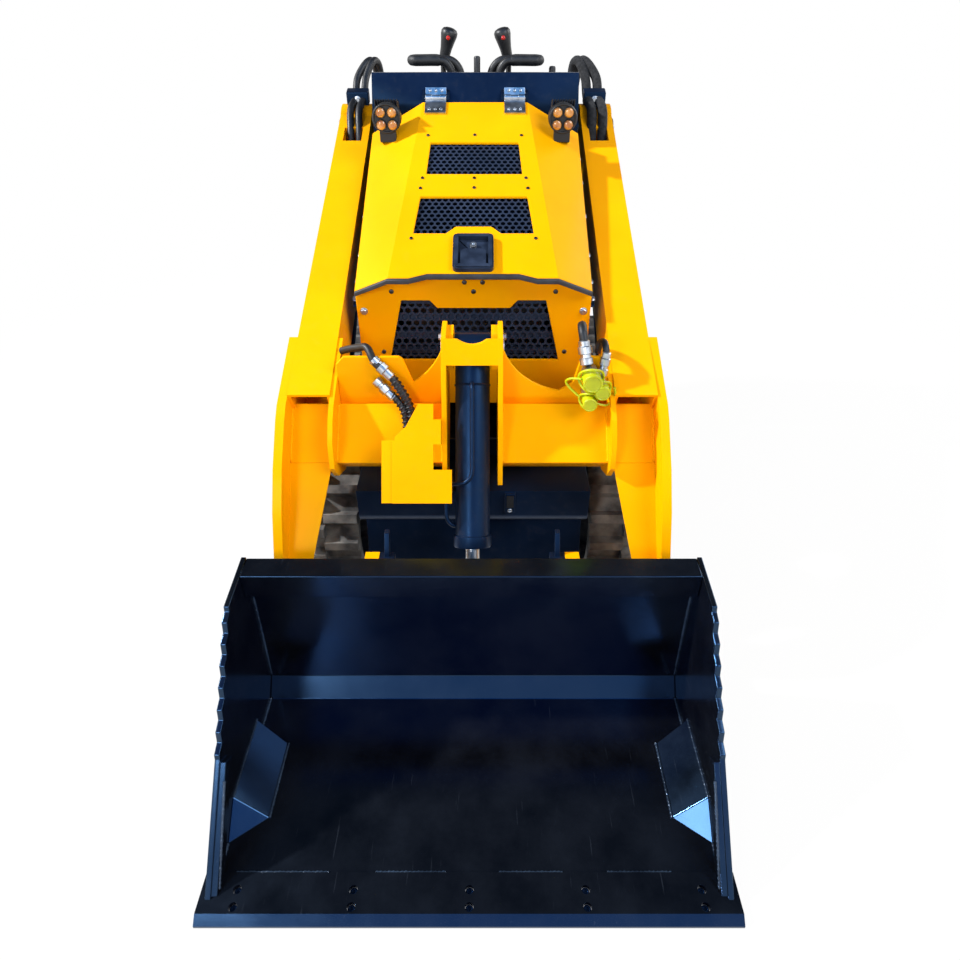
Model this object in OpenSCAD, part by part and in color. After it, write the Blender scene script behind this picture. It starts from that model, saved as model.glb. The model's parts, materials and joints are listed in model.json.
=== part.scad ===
// Stand-on compact track loader with a bucket
// Lengths are millimetres. Places are measured back from the bucket's lip and up from the ground,
// and every piece is moved once so that the middle of the machine's length lies over the origin.
// The machine faces -Y, +X is on the right when it is seen from the front, and +Z is up.

/* [Machine] */
// length from the bucket's lip to the back of the platform
overall_l = 2420; // [2200:10:2700]
// half the gap between the hood and the side panels it closes over
panel_gap = 6; // [4:1:10]

/* [Bucket] */
// width of the cutting edge
edge_w = 1080; // [900:10:1300]
// how far the cutting edge stands out past each side plate
edge_over = 12; // [0:1:30]
// depth of the cutting edge, front to back
edge_d = 92; // [60:2:140]
// thickness of the cutting edge
edge_t = 20; // [10:1:30]
// length of the bevel at the lip
bevel_d = 17; // [5:1:40]
// thickness of a side plate
side_t = 12; // [6:1:20]
// thickness of the floor
floor_t = 14; // [6:1:20]
// where the floor turns up
floor_s = 500; // [400:5:600]
// height of the top rail above the ground
bucket_h = 436; // [350:2:550]
// depth and height of the top rail's section
rail = [58, 66];
// radius of the bolt holes along the cutting edge
bolt_r = 8.5; // [5:0.5:12]

/* [Lift arms] */
// slope of the arms
arm_slope = 23.2; // [15:0.1:35]
// depth of an arm's box section
arm_h = 140; // [100:2:180]
// inner and outer faces of an arm's box section
arm_x = [348, 452];
// thickness of the box section's walls
arm_wall = 8; // [4:1:14]
// length of an arm from its pivot to its front end
arm_l = 1182; // [1000:2:1400]
// where the arms turn
pivot = [1980, 1098];
// radius of the arms' pivot pins
pivot_r = 25; // [15:1:40]
// thickness of a leg's outer plate
leg_t = 22; // [12:1:30]
// where the bucket turns
tool_pin = [656, 165];
// radius of the bucket's pins
tool_pin_r = 20; // [12:1:30]
// upper front corner of the cross beam
beam_top = [898, 653];
// lean of the cross beam's front face from upright
beam_lean = 41.8; // [0:0.1:60]
// height and depth of the cross beam's section
beam_sec = [150, 100];

/* [Cylinders] */
// where the tilt cylinder hangs on the arms
tilt_base = [950, 785];
// where the tilt rod's eye is at rest
tilt_eye = [632, 310];
// outer radius of the tilt cylinder
tilt_r = 42.5; // [30:0.5:60]
// radius of the tilt rod
tilt_rod_r = 17.5; // [10:0.5:25]
// length of the tilt barrel from its base pin
tilt_barrel_l = 489; // [400:1:520]
// where a lift cylinder stands on the frame
lift_base = [1200, 520];
// where a lift rod's eye is at rest
lift_eye = [1680, 835];
// middle of a lift cylinder
lift_x = 400; // [380:1:420]
// outer radius of a lift cylinder
lift_r = 32; // [24:0.5:40]
// radius of a lift rod
lift_rod_r = 16; // [10:0.5:22]
// length of a lift barrel from its base pin
lift_barrel_l = 440; // [380:1:500]
// clearance of a rod in its barrel or of a pin in its bore
fit = 0.05; // [0.01:0.01:0.1]

/* [Tracks] */
// inner and outer faces of a track
track_x = [315, 495];
// distance between the front and rear wheel centres
wheel_base = 816; // [700:4:900]
// clear length between the bucket's pins and the tracks
track_gap = 144; // [100:2:200]
// radius over the lugs, which is also the height of the wheel centres
track_r = 222; // [180:1:260]
// height of a lug
lug_h = 26; // [10:1:40]
// thickness of the belt
belt_t = 25; // [15:1:40]
// number of lugs around one track
lugs = 40; // [30:1:50]

/* [Body] */
// half the frame's width
frame_x = 290; // [250:1:310]
// front and rear ends of the frame
frame_s = [960, 2060];
// underside and top of the frame
frame_z = [180, 620];
// thickness of the frame's plates
frame_t = 10; // [5:1:20]
// front face of the front panel
front_s = 1150; // [1100:2:1200]
// half the front panel's width
front_x = 315; // [280:1:330]
// underside of the front panel
front_z = 500; // [450:2:620]
// half the console's width
console_x = 320; // [300:1:325]
// back of the console
console_s = 2044; // [2030:2:2056]
// height of the control deck
deck_z = 1224; // [1210:2:1240]

/* [Hood] */
// front corners of the hood's flat top
hood_front = [218, 1100, 903];
// rear corners of the hood's flat top
hood_rear = [160, 1750, 1216];
// front ends of the hood's side edges
side_front = [314, 1140, 852];
// rear ends of the hood's side edges
side_rear = [319, 1720, 1132];
// drop of the hood's sheet from its top to its underside
hood_t = 8; // [4:1:12]
// where the hood turns
hinge = [1757, 1226];

/* [Hidden] */
$fn = 48;
// This list is what the build reads: one name for each sub-part.
bolt_pitch = (edge_w - 144) / 4;
bucket_x = edge_w / 2 - edge_over;
inner_x = bucket_x - side_t;
heel = [floor_s + 50, 46];
lean = (574 - heel[0]) / (bucket_h - heel[1]);
leg_x = [arm_x[1], arm_x[1] + leg_t];
inner_plate_t = 12;
hinge_x = [89, 153];
hinge_r = 5;
bar_r = 12.5;
ear_x = [366, 388];
track_s = [tool_pin[0] + track_gap + track_r, tool_pin[0] + track_gap + track_r + wheel_base];
belt_r = track_r - lug_h;
wheel_r = belt_r - belt_t;
hood_slope = atan2(hood_rear[2] - hood_front[2], hood_rear[1] - hood_front[1]);
tilt_dir = atan2(tilt_base[1] - tilt_eye[1], tilt_base[0] - tilt_eye[0]);
tilt_len = norm(tilt_base - tilt_eye);
lift_dir = atan2(lift_eye[1] - lift_base[1], lift_eye[0] - lift_base[0]);
lift_len = norm(lift_eye - lift_base);
yellow = [0.96, 0.68, 0.03];
black = [0.06, 0.07, 0.09];
steel = [0.70, 0.71, 0.73];
rubber = [0.05, 0.05, 0.05];

// Helpers
// moves a piece from the lip's frame to the machine's
module placed() {
    translate([0, -overall_l / 2, 0])
        children();
}

// a side profile, drawn back and up, made solid from x[0] to x[1]
module across(x) {
    translate([x[0], 0, 0])
        rotate([90, 0, 90])
            linear_extrude(x[1] - x[0])
                children();
}

// the same piece on both sides
module both() {
    children();
    mirror([1, 0, 0])
        children();
}

// a round bar across the machine at p = [back, up]
module bar(x, p, r) {
    translate([x[0], p[0], p[1]])
        rotate([0, 90, 0])
            cylinder(r = r, h = x[1] - x[0]);
}

// a round bar from one point to another
module rod(a, b, r) {
    d = b - a;
    translate(a)
        rotate([0, acos(d[2] / norm(d)), atan2(d[1], d[0])])
            cylinder(r = r, h = norm(d));
}

// a frame at p whose Y axis climbs backwards at the given slope
module sloped(p, slope) {
    translate([0, p[0], p[1]])
        rotate([slope, 0, 0])
            children();
}

// back of the bucket at a height
function back_s(z) = heel[0] + lean * (z - heel[1]);

// Bucket
module cutting_edge() {
    color(black)
        difference() {
            across([-edge_w / 2, edge_w / 2])
                polygon([[0, 0], [edge_d, 0], [edge_d, edge_t], [bevel_d, edge_t], [0, 6]]);
            for (i = [-2:2], s = [29, 60])
                translate([i * bolt_pitch, s, -1])
                    cylinder(r = bolt_r, h = edge_t + 2);
        }
}

module bucket_shell() {
    rail_z = bucket_h - rail[1];
    color(black)
        across([-inner_x, inner_x])
            polygon([[edge_d, 0], [heel[0] - 44, 0], heel, [back_s(bucket_h), bucket_h],
                [back_s(bucket_h) - rail[0], bucket_h], [back_s(bucket_h) - rail[0], rail_z],
                [back_s(rail_z) - 12, rail_z], [heel[0] - 12, heel[1] + 12],
                [floor_s, floor_t], [edge_d, floor_t]]);
}

// one side plate, with its scalloped upper edge and its doubling strip
module bucket_side() {
    low = [226, bucket_h - 234];
    high = [436, bucket_h - 8];
    waves = 7;
    across_edge = [-(high[1] - low[1]), high[0] - low[0]] / norm(high - low);
    across([inner_x, bucket_x])
        polygon(concat([[40, edge_t], [edge_d, edge_t], [edge_d, 0], [heel[0] - 44, 0], heel,
            [back_s(bucket_h), bucket_h], [back_s(bucket_h), bucket_h + 4]],
            [for (i = [4 * waves:-1:0]) let (t = i / (4 * waves))
                low + t * (high - low) + 6 * sin(t * waves * 360) * across_edge]));
    across([inner_x - side_t, inner_x])
        polygon([[46, edge_t], low - [2, 4], low + [26, -26], [98, edge_t]]);
}

module bucket_side_left() {
    color(black)
        mirror([1, 0, 0])
            bucket_side();
}

module bucket_side_right() {
    color(black)
        bucket_side();
}

// folded plates in the two lower corners, closed in front by a slanted triangle
module bucket_gussets() {
    w = inner_x;
    f = floor_t;
    color(black)
        both()
            polyhedron([[w, 149, f], [w - 75, 204, f], [w, 221, f + 54], [w, 408, f], [w - 75, 378, f], [w, 408, f + 54]],
                [[3, 4, 1, 0], [2, 5, 3, 0], [0, 1, 2], [5, 4, 3], [2, 1, 4, 5]]);
}

// Quick attach plate
module quick_attach() {
    color(black) {
        difference() {
            union() {
                across([-352, 352])
                    polygon([[back_s(70), 70], [back_s(400), 400], [back_s(400) + 12, 400], [back_s(70) + 12, 70]]);
                both()
                    across(ear_x) {
                        polygon([[back_s(80), 80], [back_s(290), 290], [tool_pin[0] + 20, 205],
                            [tool_pin[0] + 40, tool_pin[1]], [tool_pin[0], tool_pin[1] - 40]]);
                    }
                both()
                    across([340, ear_x[1]])
                        polygon([[back_s(80), 80], [back_s(290), 290], [back_s(290) + 12, 290], [back_s(80) + 12, 80]]);
                both()
                    bar(ear_x, tool_pin, 42);
                both()
                    across([34, 50])
                        polygon([[back_s(220), 220], [back_s(390), 390], [tilt_eye[0] + 10, tilt_eye[1] + 34],
                            [tilt_eye[0] + 32, tilt_eye[1]], [tilt_eye[0] + 20, tilt_eye[1] - 34]]);
            }
            both()
                bar([ear_x[0] - 10, ear_x[1] + 10], tool_pin, tool_pin_r + fit);
        }
    }
}

// lock levers and their housings
module lock_levers() {
    color(steel)
        both() {
            across([186, 256])
                polygon([[back_s(300) + 12, 300], [back_s(392) + 12, 392], [640, 392], [640, 300]]);
            across([198, 210])
                polygon([[622, 392], [646, 392], [668, 440], [652, 440]]);
        }
}

// Lift arms
// the space that the cross beam takes, with its ends at x
module beam_block(x, inset = 0) {
    translate([0, beam_top[0], beam_top[1]])
        rotate([-beam_lean, 0, 0])
            translate([x[0], inset, -beam_sec[0] + inset])
                cube([x[1] - x[0], beam_sec[1] - 2 * inset, beam_sec[0] - 2 * inset]);
}

module arm() {
    difference() {
        union() {
            sloped(pivot, arm_slope) {
                translate([arm_x[0], -arm_l, -arm_h / 2])
                    cube([arm_x[1] - arm_x[0], arm_l, arm_h]);
                bar(arm_x, [0, 0], arm_h / 2 + 8);
            }
            across([arm_x[0] - inner_plate_t, arm_x[0]])
                polygon([[1036, 766], [946, 728], [845, 681], [814, 656], [780, 610], [768, 545],
                    [800, 500], [880, 462], [990, 560], [1036, 660]]);
            both_ears();
        }
        sloped(pivot, arm_slope) {
            translate([arm_x[0] + arm_wall, -arm_l - 1, -arm_h / 2 + arm_wall])
                cube([arm_x[1] - arm_x[0] - 2 * arm_wall, arm_l - 119, arm_h - 2 * arm_wall]);
            translate([arm_x[0] + 22, -170, 0])
                cube([arm_x[1] - arm_x[0] - 44, 70, arm_h]);
            translate([arm_x[0] + arm_wall + 2, -364, -arm_h / 2 - 1])
                cube([arm_x[1] - arm_x[0] - 2 * arm_wall - 4, 112, arm_wall + 2]);
        }
        bar([arm_x[0] - 20, arm_x[1] + 20], pivot, pivot_r + fit);
        beam_block([0, arm_x[1] + 1]);
    }
}

// flat ears under an arm, either side of the lift rod's eye
module both_ears() {
    for (x = [arm_x[0], arm_x[1] - arm_wall])
        across([x, x + arm_wall])
            polygon([lift_eye + [-90, 30], lift_eye + [-24, -34], lift_eye + [24, -34], lift_eye + [70, 76], lift_eye + [-90, 50]]);
}

module arm_left() {
    color(yellow)
        mirror([1, 0, 0])
            arm();
}

module arm_right() {
    color(yellow)
        arm();
}

// the bent leg below an arm: outer plate, web and the boss of the bucket's pin
module leg() {
    difference() {
        union() {
            across(leg_x)
                polygon([[1036, 769], [946, 728], [845, 681], [814, 656], [732, 570], [672, 487], [622, 390],
                    [606, 300], [tool_pin[0] - 52, tool_pin[1]], [tool_pin[0], tool_pin[1] - 52],
                    [tool_pin[0] + 52, tool_pin[1]], [722, 290], [790, 410], [880, 515], [1036, 622]]);
            bar([396, leg_x[1]], tool_pin, 52);
            web();
        }
        bar([390, leg_x[1] + 2], tool_pin, tool_pin_r);
    }
}

// the web between a leg's plate and its free inner edge
module web() {
    difference() {
        across([arm_x[0], leg_x[0]])
            polygon([[798, 541], [727, 450], [650, 355], [659, 348], [736, 443], [806, 533.8]]);
        translate([arm_x[0], 640, 540])
            rotate([0, -13, 0])
                translate([-200, -20, -400])
                    cube([200, 240, 400]);
    }
}

module leg_left() {
    color(yellow)
        mirror([1, 0, 0])
            leg();
}

module leg_right() {
    color(yellow)
        leg();
}

module cross_beam() {
    color(yellow)
        both()
            difference() {
                beam_block([74, arm_x[1]]);
                beam_block([73, arm_x[1] - arm_wall], arm_wall);
            }
}

// cheeks that hold the tilt cylinder's base
module tilt_bracket() {
    color(yellow)
        difference() {
            across([-62, 62])
                polygon([[905, 829], [875, 773], [867, 777], [897, 833]]);
            translate([0, 912, 881])
                rotate([90, 0, 0])
                    cylinder(r = 62, h = 60);
        }
    color(yellow)
        both()
            difference() {
                union() {
                    across([62, 74])
                        polygon([[1010, 800], [985, 838], [930, 838], [897, 833], [867, 777], [848, 741], [840, 690], [780, 560],
                            [764, 498], [800, 482], [872, 474], [972, 586], [1010, 700]]);
                    across([46, 62])
                        polygon([[1000, 800], [980, 830], [930, 828], [905, 790], [912, 740], [990, 740]]);
                }
                bar([40, 80], tilt_base, 18);
            }
}

// outline of one upright plate: the bracket's side, a curve down to an angle, a tab, the arm's side
module bulkhead_outline(last_angle, tab) {
    curve = [for (a = [198.5:8:last_angle]) [240 + 175 * cos(a), 850 + 175 * sin(a)]];
    polygon(concat([[74, 560]], curve, tab, [[316, 772], [336, 750], [336, 560]]));
}

// upright plates on the beam, either side of the bracket; the left one has the wider tab
module bulkhead_plates() {
    color(yellow)
        difference() {
            translate([0, 930, 0])
                rotate([90, 0, 0])
                    linear_extrude(10) {
                        bulkhead_outline(262.5, [[228, 684], [250, 700], [266, 772]]);
                        mirror([1, 0])
                            bulkhead_outline(238.5, [[156, 722], [171, 766], [180, 772]]);
                    }
            beam_block([-arm_x[1], arm_x[1]]);
        }
}

module hose_guard() {
    color(yellow)
        sloped(tilt_base, tilt_dir)
            both_sided_guard();
}

// the guard's bent plate, drawn along the tilt cylinder
module both_sided_guard() {
    translate([0, 0, 56])
        linear_extrude(6)
            polygon([[-184, -380], [-48, -380], [-48, -300], [-92, -300], [-92, -143], [-128, -143], [-158, -198],
                [-184, -222]]);
    translate([-216, -380, 50])
        cube([32, 150, 6]);
    translate([-190, -380, 50])
        cube([7, 150, 12]);
    translate([-98, -240, 20])
        cube([24, 60, 42]);
}

// Hydraulic couplers
coupler_places = [[286, 742, 24], [312, 716, 19], [284, 684, 18]];

module couplers() {
    color(steel)
        for (c = coupler_places)
            translate([c[0], 920, c[1]])
                rotate([90, 0, 0])
                    cylinder(r = c[2] - 4, h = 50);
}

module coupler_caps() {
    color([0.80, 0.86, 0.10])
        for (c = coupler_places)
            translate([c[0], 870, c[1]])
                rotate([90, 0, 0])
                    cylinder(r = c[2], h = 34);
}

// Pins that stay with the arms
module tool_pins() {
    color(steel) {
        both()
            bar([360, leg_x[1] + 6], tool_pin, tool_pin_r);
        bar([-78, 78], tilt_base, 18);
    }
}

// Cylinders
module tilt_barrel() {
    color(black)
        sloped(tilt_base, tilt_dir)
            difference() {
                union() {
                    rod([0, -tilt_barrel_l, 0], [0, -30, 0], tilt_r);
                    bar([-43, 43], [0, 0], 34);
                }
                bar([-44, 44], [0, 0], 18 + fit);
                rod([0, -tilt_barrel_l - 1, 0], [0, -80, 0], tilt_rod_r + fit);
            }
}

module tilt_rod() {
    color(steel)
        sloped(tilt_base, tilt_dir) {
            rod([0, -tilt_len, 0], [0, -120, 0], tilt_rod_r);
            bar([-30, 30], [-tilt_len, 0], 26);
        }
}

module lift_barrels() {
    color(black)
        both()
            sloped(lift_base, lift_dir)
                difference() {
                    union() {
                        rod([lift_x, 24, 0], [lift_x, lift_barrel_l, 0], lift_r);
                        bar([lift_x - 31, lift_x + 31], [0, 0], 30);
                    }
                    bar([lift_x - 40, lift_x + 40], [0, 0], 18 + fit);
                    rod([lift_x, 60, 0], [lift_x, lift_barrel_l + 1, 0], lift_rod_r + fit);
                }
}

module lift_rods() {
    color(steel)
        both()
            sloped(lift_base, lift_dir) {
                rod([lift_x, 80, 0], [lift_x, lift_len, 0], lift_rod_r);
                bar([lift_x - 36, lift_x + 36], [lift_len, 0], 26);
            }
}

// Frame
module frame() {
    step_s = front_s + 12;
    color(black)
        difference() {
            across([-frame_x, frame_x])
                polygon([[frame_s[0], frame_z[0]], [frame_s[1], frame_z[0]], [frame_s[1], frame_z[1]],
                    [step_s, frame_z[1]], [step_s, front_z], [frame_s[0], front_z]]);
            translate([-frame_x + frame_t, frame_s[0] + frame_t, frame_z[0] + frame_t])
                cube([2 * (frame_x - frame_t), frame_s[1] - frame_s[0] - 2 * frame_t, 800]);
        }
    color(black)
        across([-frame_x, frame_x])
            polygon([[838, 336], [850, 336], [818, frame_z[0] + frame_t], [frame_s[0], frame_z[0] + frame_t],
                [frame_s[0], frame_z[0]], [806, frame_z[0]]]);
    color(black)
        both()
            difference() {
                across([frame_x, 364])
                    polygon([lift_base + [-40, -64], lift_base + [60, -64], lift_base + [30, 34], lift_base + [-30, 34]]);
                bar([280, 380], lift_base, 18);
            }
    color(black)
        both()
            for (s = [roller_s[0] - 45, roller_s[3] - 45])
                translate([frame_x, s, 200])
                    cube([352 - frame_x, 90, 60]);
}

// upright plates that carry the arms' pivots
module towers() {
    color(black)
        both()
            difference() {
                across([console_x, console_x + 20])
                    polygon([[1790, 600], [2050, 600], [2050, 1130], [2020, 1176], [1940, 1176], [1880, 1060], [1790, 900]]);
                bar([console_x - 5, console_x + 30], pivot, pivot_r);
            }
}

module pivot_pins() {
    color(steel)
        both() {
            bar([console_x, arm_x[1] + 12], pivot, pivot_r);
            bar([300, lift_x + 40], lift_base, 18);
        }
}

module hydraulic_tank() {
    round_r = 36;
    front = 800;
    low = 336;
    color(black) {
        across([-300, 300]) {
            polygon([[front, low + round_r], [front, 450], [frame_s[0], 450],
                [frame_s[0], low], [front + round_r, low]]);
            translate([front + round_r, low + round_r])
                circle(r = round_r);
        }
        translate([82, front - 8, 384])
            cube([26, 8, 62]);
    }
}

// outline of the front panel, across and up
module front_outline() {
    polygon([[-front_x, front_z], [front_x, front_z], [front_x, 838], [222, 900], [-222, 900], [-front_x, 838]]);
}

// outline of the opening in the front panel
module front_window() {
    polygon([[-236, 642], [236, 642], [194, 820], [118, 820], [98, 798], [-98, 798], [-118, 820], [-194, 820]]);
}

module front_panel() {
    color(yellow)
        translate([0, front_s + 10, 0])
            rotate([90, 0, 0])
                difference() {
                    linear_extrude(10)
                        front_outline();
                    translate([0, 0, -1])
                        linear_extrude(12)
                            front_window();
                }
}

// a sheet punched with hexagons, centred on the origin
module punched(size, pitch, web) {
    step = pitch * sqrt(3) / 2;
    cols = floor((size[0] - 2 * web) / pitch / 2 - 0.5);
    rows = floor((size[1] - pitch) / step / 2);
    difference() {
        square(size, center = true);
        for (j = [-rows:rows], i = [-cols:cols])
            translate([(i + (j % 2 == 0 ? 0 : 0.5)) * pitch, j * step])
                rotate(30)
                    circle(d = (pitch - web) * 2 / sqrt(3), $fn = 6);
    }
}

module front_grille() {
    color(black)
        translate([0, front_s + 14, 732])
            rotate([90, 0, 0])
                linear_extrude(4)
                    punched([500, 204], 34, 8);
}

module side_panels() {
    x = side_front[0] - 8 - 2 * panel_gap;
    color(black)
        both()
            across([x - 6, x])
                polygon([[front_s + 14, frame_z[1]], [1755, frame_z[1]], [1755, 1086], [1720, 1086], [front_s + 14, 826]]);
    color(black)
        both()
            across([x, x + 34])
                polygon([[front_s + 14, 794], [1752, 1078], [1752, 1084], [front_s + 14, 800]]);
}

module engine_block() {
    color([0.30, 0.31, 0.33])
        translate([-200, 1260, frame_z[0] + frame_t])
            cube([400, 440, 650]);
}

// Operator's end
module console() {
    color(black) {
        difference() {
            across([-console_x, console_x])
                polygon([[1762, frame_z[1]], [1762, 1200], [1806, 1290], [1818, 1290], [1836, deck_z],
                    [2030, deck_z], [console_s, deck_z - 24], [console_s, frame_z[1]]]);
            across([-console_x + 6, console_x - 6])
                polygon([[1768, frame_z[1] - 1], [1768, 1198], [1778, deck_z - 6], [2027, deck_z - 6],
                    [console_s - 6, deck_z - 26], [console_s - 6, frame_z[1] - 1]]);
        }
        both() {
            bar([hinge_x[0] - 9, hinge_x[1] + 9], hinge, hinge_r);
            for (x = [hinge_x[0] - 9, hinge_x[1] + 1])
                across([x, x + 8])
                    polygon([hinge + [-5, -5], hinge + [-5, 8], hinge + [28, 20], hinge + [16, -4]]);
        }
    }
}

// steering bars, bent to a hairpin
module handlebars() {
    bend = 40;
    post_x = 64;
    bar_s = [1930, 1962];
    bar_z = 1310;
    end_x = 190;
    half = (bar_s[1] - bar_s[0]) / 2;
    color(black)
        both() {
            for (s = bar_s) {
                translate([post_x, s, deck_z])
                    cylinder(r = bar_r, h = bar_z - bend - deck_z);
                translate([post_x + bend, s, bar_z - bend])
                    rotate([90, 0, 0])
                        rotate(90)
                            rotate_extrude(angle = 90)
                                translate([bend, 0])
                                    circle(r = bar_r);
                rod([post_x + bend, s, bar_z], [end_x, s, bar_z], bar_r);
            }
            translate([end_x, bar_s[0] + half, bar_z])
                rotate(-90)
                    rotate_extrude(angle = 180)
                        translate([half, 0])
                            circle(r = bar_r);
        }
}

module joysticks() {
    color(black)
        both()
            translate([108, 2000, deck_z]) {
                cylinder(r1 = 28, r2 = 14, h = 46);
                cylinder(r = 10, h = 84);
                translate([0, 0, 80])
                    rotate([0, -11, 0]) {
                        cylinder(r1 = 16, r2 = 26, h = 88);
                        translate([0, 0, 88])
                            cylinder(r1 = 26, r2 = 17, h = 16);
                    }
            }
}

module thigh_pad() {
    color(rubber)
        translate([-220, console_s, 880])
            cube([440, 46, 260]);
}

module platform() {
    color(black) {
        translate([-270, 2070, 240])
            cube([540, overall_l - 2070, 8]);
        both()
            translate([250, frame_s[1], 200])
                cube([20, overall_l - frame_s[1], 40]);
        translate([-250, overall_l - 20, 200])
            cube([500, 20, 40]);
    }
}

// Tracks
track_run = track_s[1] - track_s[0];
track_len = 2 * track_run + 2 * PI * belt_r;

// point on the track's loop, a distance u along it and r from the wheels' centres
function loop_point(u, r) =
    let (half = track_len / 2, v = u - track_len * floor(u / track_len), far = v >= half,
         w = far ? v - half : v, a = (w - track_run) / belt_r * 180 / PI - 90,
         p = w < track_run ? [w, -r] : [track_run + r * cos(a), r * sin(a)])
    far ? [track_s[1] - p[0], track_r - p[1]] : [track_s[0] + p[0], track_r + p[1]];

// outline of the belt with its lugs, moved along by part of a pitch
function lug_outline(shift) =
    let (pitch = track_len / lugs)
    [for (i = [0:lugs - 1], c = [[0.06, 0], [0.16, 1], [0.44, 1], [0.54, 0]])
        loop_point((i + shift + c[0]) * pitch, belt_r + c[1] * lug_h)];

// outline of the space inside the belt
function belt_inside(steps) =
    [for (i = [0:steps - 1]) loop_point(i / steps * track_len, wheel_r)];

module track() {
    mid = (track_x[0] + track_x[1]) / 2;
    difference() {
        union() {
            across([track_x[0], mid])
                polygon(lug_outline(0));
            across([mid, track_x[1]])
                polygon(lug_outline(0.5));
        }
        across([track_x[0] - 1, track_x[1] + 1])
            polygon(belt_inside(120));
    }
}

module track_left() {
    color(rubber)
        mirror([1, 0, 0])
            track();
}

module track_right() {
    color(rubber)
        track();
}

roller_s = [for (part = [0.275, 0.425, 0.575, 0.725]) track_s[0] + part * wheel_base];
roller_r = 45;
roller_z = track_r - wheel_r + roller_r + 0.3;

module track_frames() {
    color(black)
        both()
            difference() {
                union() {
                    for (x = [352, 446])
                        across([x, x + 12])
                            polygon([[track_s[0] - 50, track_r - 40], [roller_s[0] - 40, roller_z - 30], [roller_s[3] + 40, roller_z - 30],
                                [track_s[1] + 50, track_r - 40], [track_s[1] + 50, track_r + 40], [track_s[0] - 50, track_r + 40]]);
                    translate([364, roller_s[0] - 20, 190])
                        cube([82, roller_s[3] - roller_s[0] + 40, 60]);
                }
                for (s = track_s)
                    bar([340, 470], [s, track_r], 20);
                for (s = roller_s)
                    bar([340, 470], [s, roller_z], 15);
            }
}

// a wheel with its rim, web, hub and axle
module wheel_pair(s, r, holes) {
    both() {
        difference() {
            union() {
                bar([375, 435], [s, track_r], r);
                bar([352, 458], [s, track_r], 20);
            }
            for (x = [[374, 392], [418, 436]])
                difference() {
                    bar(x, [s, track_r], r - 26);
                    bar([x[0] - 1, x[1] + 1], [s, track_r], 52);
                }
            for (i = [1:holes])
                bar([380, 430], [s + 92 * cos(i * 360 / holes), track_r + 92 * sin(i * 360 / holes)], 22);
        }
    }
}

module idlers() {
    color(black)
        wheel_pair(track_s[0], wheel_r - 0.6, 5);
}

module sprockets() {
    color(black)
        wheel_pair(track_s[1], wheel_r - 0.6, 8);
}

module rollers() {
    color(black)
        both()
            for (s = roller_s) {
                bar([372, 438], [s, roller_z], roller_r);
                bar([352, 458], [s, roller_z], 15);
            }
}

// Hood
// where the dip in the hood's front edge starts and ends, across and back
dip = [[165, hood_front[1]], [118, hood_front[1] + 14]];

// the hood's folded sheet: top corners first, then the same corners on its underside
module hood_sheet() {
    flip = [-1, 1, 1];
    top = [[for (i = [0:2]) side_front[i] * flip[i]], [for (i = [0:2]) hood_front[i] * flip[i]], hood_front, side_front,
        [for (i = [0:2]) side_rear[i] * flip[i]], [for (i = [0:2]) hood_rear[i] * flip[i]], hood_rear, side_rear];
    low = [for (p = top) p - [0, 0, hood_t]];
    polyhedron(concat(top, low), [[1, 5, 6, 2], [0, 4, 1], [1, 4, 5], [2, 6, 7], [2, 7, 3],
        [9, 10, 14, 13], [8, 9, 12], [9, 13, 12], [10, 15, 14], [10, 11, 15],
        [0, 1, 9, 8], [1, 2, 10, 9], [2, 3, 11, 10], [3, 7, 15, 11], [7, 6, 14, 15], [6, 5, 13, 14], [5, 4, 12, 13], [4, 0, 8, 12]]);
}

// openings in the hood's top and the dip in its front edge, seen from above
module hood_windows() {
    polygon([[-dip[0][0], 1090], [-dip[0][0], dip[0][1]], [-dip[1][0], dip[1][1]], dip[1], dip[0], [dip[0][0], 1090]]);
    polygon([[-136, 1455], [136, 1455], [129, 1579], [-129, 1579]]);
    polygon([[-161, 1244], [-74, 1244], [-48, 1267], [48, 1267], [74, 1244], [161, 1244], [148, 1372], [-148, 1372]]);
}

module hood_panel() {
    color(yellow)
        difference() {
            hood_sheet();
            translate([0, 0, 850])
                linear_extrude(450)
                    hood_windows();
        }
}

module hood_grilles() {
    color(black)
        sloped([hood_front[1], hood_front[2]], hood_slope)
            for (y = [150, 385])
                translate([0, y + 85, -hood_t * cos(hood_slope) - 6])
                    linear_extrude(6)
                        punched([340, 170], 26, 7);
}

module hood_latch() {
    color(black)
        sloped([hood_front[1], hood_front[2]], hood_slope)
            translate([-53, 20, 0])
                cube([106, 124, 18]);
}

// rubber edge along the hood's front, one section at each corner of the edge
module hood_trim() {
    half = [[dip[1][0], dip[1][1], hood_front[2] + 14 * tan(hood_slope)], [dip[0][0], dip[0][1], hood_front[2]], hood_front, side_front];
    corners = concat([for (i = [3:-1:0]) [-half[i][0], half[i][1], half[i][2]]], half);
    section = [[0, 0, 0], [0, -11, -1], [0, -11, -hood_t - 6], [0, 0, -hood_t]];
    last = 4 * len(corners) - 4;
    color(rubber)
        polyhedron([for (c = corners, d = section) c + d], concat([[3, 2, 1, 0], [last, last + 1, last + 2, last + 3]],
            [for (i = [0:len(corners) - 2], j = [0:3]) let (k = (j + 1) % 4)
                [4 * i + j, 4 * i + k, 4 * i + 4 + k, 4 * i + 4 + j]]));
}

// hinge leaves on the hood, with their barrels round the console's pins
module hood_hinges() {
    color(steel)
        both()
            difference() {
                union() {
                    bar(hinge_x, hinge, hinge_r + 4);
                    sloped([hood_rear[1], hood_rear[2]], hood_slope)
                        translate([hinge_x[0], -60, 0])
                            cube([hinge_x[1] - hinge_x[0], 62, 5]);
                }
                bar(hinge_x + [-1, 1], hinge, hinge_r + fit);
            }
}

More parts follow.
